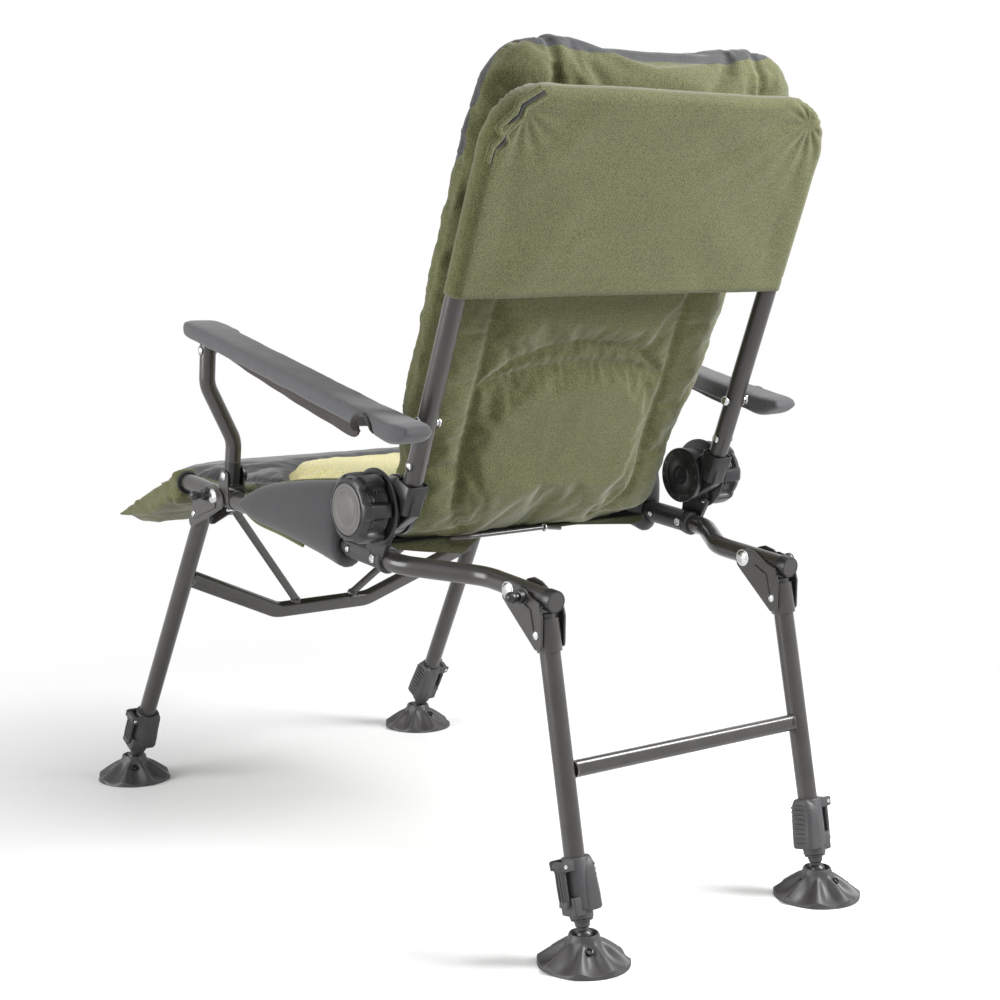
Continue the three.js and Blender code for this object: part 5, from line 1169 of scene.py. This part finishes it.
# Seams of the rear face as across and up, of the seat as across and y, and of the back's front face as across and up
REAR_SEAMS = both_sides([(164, 600), (160, 430), (156, 280), (155, 150), (152, 60), (150, 12), (146, -14), (130, -38),
                         (110, -60)]) + [
    [(149, 155), (132, 170), (105, 188), (60, 203), (0, 209), (-60, 203), (-105, 188), (-132, 170), (-149, 155)],
    [(149, 155), (115, 166), (75, 175), (25, 180), (-25, 180), (-75, 175), (-115, 166), (-149, 155)]]
SEAT_SEAMS = ([[(x, -50 + 118 * (abs(x) / 182) ** 4) for x in range(-182, 183, 14)]]
              + both_sides([(185, 62), (185, 330)]) + both_sides([(215, -262), (215, -60), (190, 60)]))
FRONT_SEAMS = both_sides([(170, -40), (170, 600)]) + both_sides([(120, -40), (120, 410)]) + [[(-170, 415), (170, 415)]]


def mattress_seams(points):
    """For each point: distance to the nearest seam of its own face and the place along it, and distance to the rim."""
    run, offset, wide = pad_place(points)
    x, up, _ = back_place(points)
    y, z = points[:, 1], points[:, 2]
    best, along = np.full(len(points), 1e9), np.zeros(len(points))
    for face, b, lines in (((offset < 0) & (up < 620) & (y > 366), up, REAR_SEAMS),
                           ((offset > 0) & (y < 330), y, SEAT_SEAMS),
                           ((offset > 0) & (z > 590), up, FRONT_SEAMS)):
        d, w = nearest_line(x, b, lines)
        best[face], along[face] = d[face], w[face]
    rim = np.maximum(0, wide - np.abs(x)) + np.abs(offset) * 0.9
    return best, along, rim, run, offset


def puckered(points, normal, seam, along, depth, reach, step, strength, seed):
    """Draws the cloth in along a seam, with small folds across it."""
    fold = np.sin(along * 2 * math.pi / step + 2.2 * grainy(points, 38, seed))
    fold *= 0.55 + 0.45 * grainy(points, 24, seed + 3)
    draw = depth * np.exp(-(seam / reach) ** 1.6) * (1 + 0.25 * grainy(points, 16, seed + 5))
    ripple = strength * fold * np.exp(-seam / (reach * 2.6)) * np.clip(seam / 2.5, 0, 1)
    return points - normal * (draw - ripple)[:, None]


CREST_UP, HEAD_Z = 584, 800


def mattress():
    obj = Part().add(mattress_mesh(), mattress_cloth).make("mattress")
    remeshed(obj, 0.0062)
    smoothed(obj, 3)
    points = coordinates(obj)
    seam, _, rim, _, _ = mattress_seams(points)
    # the border along the top edge lies where it was sewn, whatever the swelling does
    store(obj, "side", 60 * np.clip((back_place(points)[1] - CREST_UP - 2 * grainy(points, 30, 41.0)) / 3, 0, 1))
    inflated(obj, np.maximum(np.where(rim < 13, 1.0, 0), np.where(seam < 4.0, 0.7, 0)))
    modify(obj, "finer", "SUBSURF", levels=1, render_levels=1)
    applied(obj)
    points = coordinates(obj)
    seam, along, rim, run, offset = mattress_seams(points)
    points = puckered(points, normals(obj), seam, along, 5.0, 7.0, 13.0, 0.9, 1.0)
    rim_pull = np.where(np.abs(offset) < 24, rim, 1e3)
    points = puckered(points, normals(obj), rim_pull, run, 2.4, 7.0, 60.0, 3.6, 7.0)
    points += normals(obj) * (1.1 * grainy(points, 70, 2.0) + 0.5 * grainy(points, 24, 4.0))[:, None]
    # the sitter's side bulges past the rear panel beside the head
    _, offset, wide = pad_place(points)
    x, up, _ = back_place(points)
    head = points[:, 2] > HEAD_Z
    beside = np.clip((np.abs(x) - wide + 26) / 22, 0, 1) * np.exp(-((offset + 3) / 20) ** 2)
    ends = np.clip((up - 436) / 12, 0, 1) * np.clip((590 - up) / 30, 0, 1)
    lobes = np.abs(np.sin((up - 432) / 66 * math.pi)) ** 0.6 * ends
    points[:, 0] += np.sign(x) * 9 * beside * lobes * head
    set_coordinates(obj, points)
    crest = np.empty(len(points), np.float32)
    obj.data.attributes["side"].data.foreach_get("value", crest)
    # beside the back the seam runs near the front edge
    forward = -13 * np.clip((points[:, 2] - 540) / 60, 0, 1)
    store(obj, "side", (offset + 1.0 + crest + forward + 18 * lobes * head) / 1000)
    store(obj, "rest", row_points(points))
    obj.data.polygons.foreach_set("use_smooth", [True] * len(obj.data.polygons))
    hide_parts("seat_cushion", "mattress_bend", "back_cushion")
    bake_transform(obj)


# y, bottom, top, outer side
BOLSTER = [(67, 464, 474, 274), (85, 456, 486, 276), (105, 449, 494, 278), (125, 445, 501, 279), (175, 440, 511, 281),
           (224, 433, 518, 282), (275, 425, 524, 282), (312, 417, 527, 281), (322, 414, 525, 279), (327, 415, 520, 276)]
BOLSTER_INNER = 226


def bolster(side):
    name = ("left" if side > 0 else "right") + "_bolster"
    first, last = BOLSTER[0][0], BOLSTER[-1][0]
    rings = []
    for k in range(46):
        y = first + (last - first) * (k / 45) ** 0.9
        _, low, high, far = between(BOLSTER, y)
        end = 0.8 if k in (0, 45) else 1
        half, middle = (far - BOLSTER_INNER) / 2, (far + BOLSTER_INNER) / 2
        rings.append([V((side * (middle + a * half * end), y, (low + high) / 2 + b * (high - low) / 2 * end))
                      for a, b in superellipse(60, 2.4)])
    obj = Part().add(loft(rings), neoprene).make(name, "seat", ["seat_cushion"], "grey_neoprene")
    # the seat tube passes through
    hole = Part().add(tube([seat_point(side * SPACING, y) for y in (30, 372)], TUBE + 0.7, 32), neoprene)
    cut_away(obj, hole.make("cutter", "seat"), 0.0032)
    smoothed(obj, 16)
    points = coordinates(obj)
    set_coordinates(obj, points + normals(obj) * (0.7 * grainy(points, 55, 11.0))[:, None])
    # piping along the seams above and below
    rows = [between(BOLSTER, 70 + 5 * k) for k in range(51)]
    above = [(side * ((far + BOLSTER_INNER) / 2 - 9), y, high - 0.6) for y, _, high, far in rows]
    below = [(side * ((far + BOLSTER_INNER) / 2 + 14), y, low + 2.2) for y, low, _, far in rows[:34]]
    edge = Part().add(tube(above, 2.0, 12, 0.8), olive).add(tube(below, 2.4, 12, 0.8), olive)
    edge.make(name + "_piping", "seat", slot="olive_cloth")


# The head pocket: a taut sleeve over the top of the back frame

POCKET_LOW, POCKET_TOP = 298, 553.6
CORNER_FOLD = [(212, 551.5), (238, 535), (240, 524), (258, 504), (251, 494), (261, 483), (262, 462)]


def pocket():
    levels, sides = 84, 220
    rings = []
    for k in range(levels + 1):
        up = POCKET_LOW + (POCKET_TOP - POCKET_LOW) * (k / levels) ** 0.82
        above, beside = max(0, up - 538), max(0, up - 478)
        thick = math.sqrt(max(1.2, 15 * 15 - above * above))
        half = 193 + math.sqrt(max(0, 75 * 75 - beside * beside))
        ring = []
        for i in range(sides):
            a = 2 * math.pi * (i + 0.5) / sides
            x = math.copysign(abs(math.cos(a)) ** 0.42, math.cos(a)) * half
            edge = min(1, (half - abs(x)) / 15)
            flat = math.sqrt(max(0, 1 - (1 - edge) ** 2))
            ring.append(back_point(x, up, BEHIND + math.copysign(flat * thick, math.sin(a))))
        rings.append(ring)
    # the slit at the corner: two strips of cloth with a dark strip between them, painted shade in the slit
    strips = Part()
    for shift, wide, high, mat in ((0, 4.2, 2.2, olive), (6.4, 2.4, 1.3, piping_and_slit_shade), (11.4, 3.0, 1.8, olive)):
        line = bent([back_point(x - shift, up - shift * 0.7, BEHIND + 14.6 - (x > 255) * 1.5) for x, up in CORNER_FOLD],
                    3, 4)
        strips.add(loft(sections(line, box_ring(high, wide, high * 0.9), away_of(back_point))), mat)
    fold = strips.make("head_pocket_fold", "back", slot="olive_cloth")
    obj = Part().add(loft(rings, caps=False), olive).make("head_pocket_cloth", "back", ["head_pocket"], "olive_cloth")
    points = coordinates(obj)
    x, up, _ = back_place(points)
    out = np.abs(x)
    flat = np.clip((248 - out) / 30, 0, 1)
    # taut cloth dips a little between the tubes and wrinkles out of the top corners
    dip = -1.6 * flat * np.sin(np.clip((up - POCKET_LOW) / 240, 0, 1) * math.pi)
    corner, angle = np.hypot(out - 225, up - 525), np.arctan2(up - 525, out - 225)
    folds = np.sin(angle * 13 + 1.5 * grainy(points, 60, 3.0)) * np.exp(-corner / 45) * np.clip(corner / 22, 0, 1)
    diagonal = 0.8 * np.sin((out * 0.8 + up) / 23 + 2 * grainy(points, 90, 6.0)) * np.exp(-((out - 150) / 90) ** 2) * flat
    hem = np.exp(-((up - 315) / 1.6) ** 2) * -0.7
    lumps = 1.6 * grainy(points, 110, 8.0) + 0.35 * grainy(points, 26, 9.0)
    # long soft folds that run down to the right corner of the hem
    slant = (x + 60) * 0.42 + (up - 440) * 0.9
    long_folds = sum(high * np.exp(-((slant + at) / wide) ** 2) for high, at, wide in ((1.5, 0, 11), (-1.2, -26, 13),
                                                                                       (1.0, 30, 12)))
    dip = dip + long_folds * flat * (x < 120)
    set_coordinates(obj, points + normals(obj) * (dip + 1.7 * folds + diagonal + hem + lumps * flat)[:, None])
    modify(obj, "cloth_thickness", "SOLIDIFY", thickness=0.0014, offset=-1)


# The flap over the front bar: heights of its ends beside the tubes by y, here and in the CAD node

FLAP_TOP = ([-300, -248, -200, -145, -110], [412, 436, 457, 479, 494])
FLAP_LOW = ([-300, -250, -205, -170, -125, -105], [408, 413, 420, 433, 455, 465])
NODE_TOP = ([-311, -290, -242, -200, -141, -113], [409, 426, 444, 462, 484, 499])
NODE_LOW = ([-311, -292, -234, -178, -120, -106], [409, 397, 400, 426, 446, 460])


def flap():
    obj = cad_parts["front_flap"].copy()
    obj.data = obj.data.copy()
    for key in list(obj.keys()):
        del obj[key]
    obj.parent, obj.name = None, "front_flap_cloth"
    obj.data.materials.clear()
    obj.data.materials.append(olive)
    bpy.context.collection.objects.link(obj)
    remeshed(obj, 0.0034)
    smoothed(obj, 7)
    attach(obj, "seat")
    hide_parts("front_flap")
    points = coordinates(obj)
    y, z = points[:, 1].copy(), points[:, 2].copy()
    out = np.abs(points[:, 0])
    folds = np.sin((y + 0.8 * z) / 8.5 + 6.0 * grainy(points, 60, 21.0)) * (0.4 + 0.9 * grainy(points, 40, 24.0))
    folds *= np.clip((out - 190) / 60, 0, 1)
    lumps = 1.6 * grainy(points, 48, 22.0) + 0.8 * grainy(points, 19, 23.0)
    # the ends are thinner than the middle and come to a point in front
    top, low, node_top, node_low = (np.interp(y, *line) for line in (FLAP_TOP, FLAP_LOW, NODE_TOP, NODE_LOW))
    share = np.clip((z - node_low) / np.maximum(6, node_top - node_low), 0, 1)
    end = np.clip((out - 232) / 26, 0, 1)
    end = end * end * (3 - 2 * end) * (y < -125)
    points[:, 2] = z + end * (low + share * (top - low) - z)
    set_coordinates(obj, points + normals(obj) * (0.8 * folds + lumps)[:, None])
    # the dark binding round each mouth
    line = seat_tube_line()
    k = min(range(1, len(line) - 1), key=lambda i: abs(line[i].y + 106))
    upright = X.cross((line[k + 1] - line[k - 1]).normalized())
    turns = [2 * math.pi * i / 36 for i in range(37)]
    ring = [line[k] + X * 15.2 * math.cos(a) + upright * 15.2 * math.sin(a) for a in turns]
    for side in ("left", "right"):
        Part().add(tube(ring, 2.3, 12), piping_and_slit_shade).make(side + "_flap_binding", "seat", slot="olive_cloth",
                                                     mirror=side == "right")


def grid(rows, columns, point):
    """A sheet of rows by columns faces; point makes its points."""
    points = [point(j, i) for j in range(rows + 1) for i in range(columns + 1)]
    starts = [j * (columns + 1) + i for j in range(rows) for i in range(columns)]
    return points, [(a, a + 1, a + columns + 2, a + columns + 1) for a in starts]


HEM = [(-221, 440), (-199, 434), (-100, 442.5), (60, 443), (80, 432), (92, 421), (110, 424), (160, 431), (221, 441)]
SLING_HALF, SLING_FRONT, SLING_REAR = 221, 30, 352


def sling():
    rows, columns, folds = 26, 60, 6

    def across(i):
        return -SLING_HALF + 2 * SLING_HALF * i / columns

    def cloth_point(j, i):
        sag = 3.2 * math.sin(math.pi * i / columns) * math.sin(math.pi * j / rows)
        return V((across(i), SLING_FRONT + (SLING_REAR - SLING_FRONT) * j / rows, 448 - 2 * j / rows - sag))

    def hem_point(i, k):
        x, t = across(i), k / folds
        low = np.interp(x, [h[0] for h in HEM], [h[1] for h in HEM])
        return V((x, SLING_REAR - 0.4 - 2.2 * math.sin(x / 31) * t, 446 + (low - 446) * t))

    part = Part().add(grid(rows, columns, cloth_point), dark_cloth)
    obj = part.make("seat_sling_cloth", "seat", ["seat_sling"], "dark_cloth")
    modify(obj, "cloth_thickness", "SOLIDIFY", thickness=0.0022, offset=0)
    # the hem gets the darker olive, painted shade under the seat
    part = Part().add(grid(columns, folds, hem_point), olive_painted_shade)
    hem = part.make("seat_sling_hem", "seat", slot="olive_cloth")
    modify(hem, "cloth_thickness", "SOLIDIFY", thickness=0.0014, offset=0)


def strap():
    line = bent([(118, 355.4, 445), (96, 368, 446.5), (-29, 372, 448), (-60, 364, 443)], 9, 6)
    part = Part().add(tube(line, 2.9, 20, 0.8), paint)
    # the bright ring on the rod
    turns = [2 * math.pi * k / 24 for k in [*range(24), 0]]
    ring = [V((-26, 371.9, 447.9)) + V((0, 4.6 * math.cos(a), 4.6 * math.sin(a))) for a in turns]
    return part.add(tube(ring, 1.2, 10), zinc)


# Assembly

pair(seat_tube, "seat_tube", "seat", "black_tube")
single(front_bar(), "front_bar", "seat", "black_tube")
pair(rear_tube, "rear_tube", "seat", "black_tube")
pair(saddle, "saddle", "seat", "black_plastic")
pair(post_bracket, "post_bracket", "seat", "black_tube")
pair(knob, "knob", "{}_knob", "black_plastic")
pair(recliner_arm, "recliner_arm", "back", "black_plastic")
pair(hub_disc, "hub_disc", "back", "black_plastic")
pair(back_tube, "back_tube", "back", "black_tube")
single(back_top_tube(), "back_top_tube", "back", "black_tube")
pair(arm_post, "arm_post", "{}_post", "black_tube")
pair(arm_bar, "arm_bar", "{}_arm", "zinc_steel")
pad_cover("left", False)
pad_cover("right", True)
for side in ("left", "right"):
    arm_pad_trim().make(side + "_arm_pad_trim", side + "_arm", slot="grey_neoprene", mirror=side == "right")
pair(front_leg, "front_leg", "front_legs", "black_tube")
pair(front_strut, "front_strut", "front_legs", "black_tube")
single(front_cross_bar(), "front_cross_bar", "front_legs", "black_tube")
pair(rear_leg, "rear_leg", "rear_legs", "black_tube")
single(rear_cross_bar(), "rear_cross_bar", "rear_legs", "black_tube")
for name, axis_point, ball_at, lock, x in (("front", front_axis, FRONT_BALL, seat_point(0, -18), SPACING),
                                           ("rear", rear_axis, REAR_BALL, seat_point(0, 630), REAR_SPACING)):
    end, body = end_frame(axis_point, ball_at), "{}_" + name
    pair(lambda: lock_pin(lock, x), name + "_lock_pin", body + "_lock", "zinc_steel")
    pair(lambda: clamp(end), name + "_clamp", name + "_legs", "black_plastic")
    pair(lambda: lever(end), name + "_lever", body + "_lever", "black_plastic")
    pair(lambda: inner_leg(end), name + "_inner_leg", body + "_inner", "zinc_steel")
    pair(lambda: foot(end), name + "_foot", body + "_foot", "black_rubber")
mattress()
bolster(1)
bolster(-1)
pocket()
flap()
sling()
single(strap(), "sling_strap", "seat", "black_tube")

# Stage, light and camera

floor_mesh = bpy.data.meshes.new("floor")
floor_mesh.from_pydata([(-30, -30, 0), (30, -30, 0), (30, 30, 0), (-30, 30, 0)], [], [(0, 1, 2, 3)])
floor = bpy.data.objects.new("floor", floor_mesh)
bpy.context.collection.objects.link(floor)
floor_mat, tree, shader = material("pale_floor")
at = tree.coords()
tree.feed(shader, {"Roughness": 0.6, "Specular IOR Level": 0.2,
                   "Base Color": tree.ramp(tree.noise(at, 2), (0.3, (0.90,) * 3), (0.7, (0.92,) * 3))})
# the floor fades into the white background, and keeps the chair's shadow near it
fade = tree.rise(tree.new("VectorMath", {0: at}, operation="LENGTH").outputs["Value"], 0.55, 1.5)
glow = tree.new("Emission", {"Color": (1, 1, 1)}).outputs["Emission"]
ground = tree.new("MixShader", {0: tree.math("MULTIPLY", fade, tree.seen()), 1: shader.outputs["BSDF"], 2: glow})
tree.feed(tree.nodes["Material Output"], {"Surface": ground.outputs["Shader"]})
floor_mesh.materials.append(floor_mat)

scene = bpy.context.scene
scene.world = bpy.data.worlds.new("studio")
tree = Tree(scene.world)
# white to look at, dimmer as a light
tree.feed(tree.nodes["Background"], {"Color": (1, 1, 1), "Strength": tree.remap(tree.seen(), 0.27, 1.0)})


def lamp(name, at, target, size, power):
    data = bpy.data.lights.new(name, "AREA")
    data.shape = "RECTANGLE"
    data.size, data.size_y = size
    data.energy = power
    obj = bpy.data.objects.new(name, data)
    obj.location = at
    obj.rotation_euler = (V(target) - V(at)).to_track_quat("-Z", "Y").to_euler()
    obj.visible_camera = False
    bpy.context.collection.objects.link(obj)


middle = (0, 0, 0.55)
lamp("left_softbox", (3.2, -0.7, 1.3), middle, (2.0, 2.2), 104)
lamp("top_softbox", (-0.5, 0.9, 3.2), middle, (2.4, 2.4), 38)
lamp("right_softbox", (-1.35, 1.5, 1.75), (-0.15, 0.4, 0.85), (0.8, 1.1), 84)

# The camera as fitted to the photo
yaw, pitch, roll = 217.1424 * RAD, -8.1759 * RAD, 0.152 * RAD
camera_data = bpy.data.cameras.new("camera")
camera_data.sensor_width, camera_data.lens = 36, 69.79
camera = bpy.data.objects.new("camera", camera_data)
forward = V((math.sin(yaw) * math.cos(pitch), math.cos(yaw) * math.cos(pitch), math.sin(pitch)))
right = forward.cross(V((0, 0, 1))).normalized()
upward = right.cross(forward)
right, upward = right * math.cos(roll) + upward * math.sin(roll), upward * math.cos(roll) - right * math.sin(roll)
camera.matrix_world = Matrix((right, upward, -forward)).transposed().to_4x4()
camera.location = (1.57515, 2.16176, 0.85465)
bpy.context.collection.objects.link(camera)
scene.camera = camera
scene.view_settings.view_transform = "Standard"
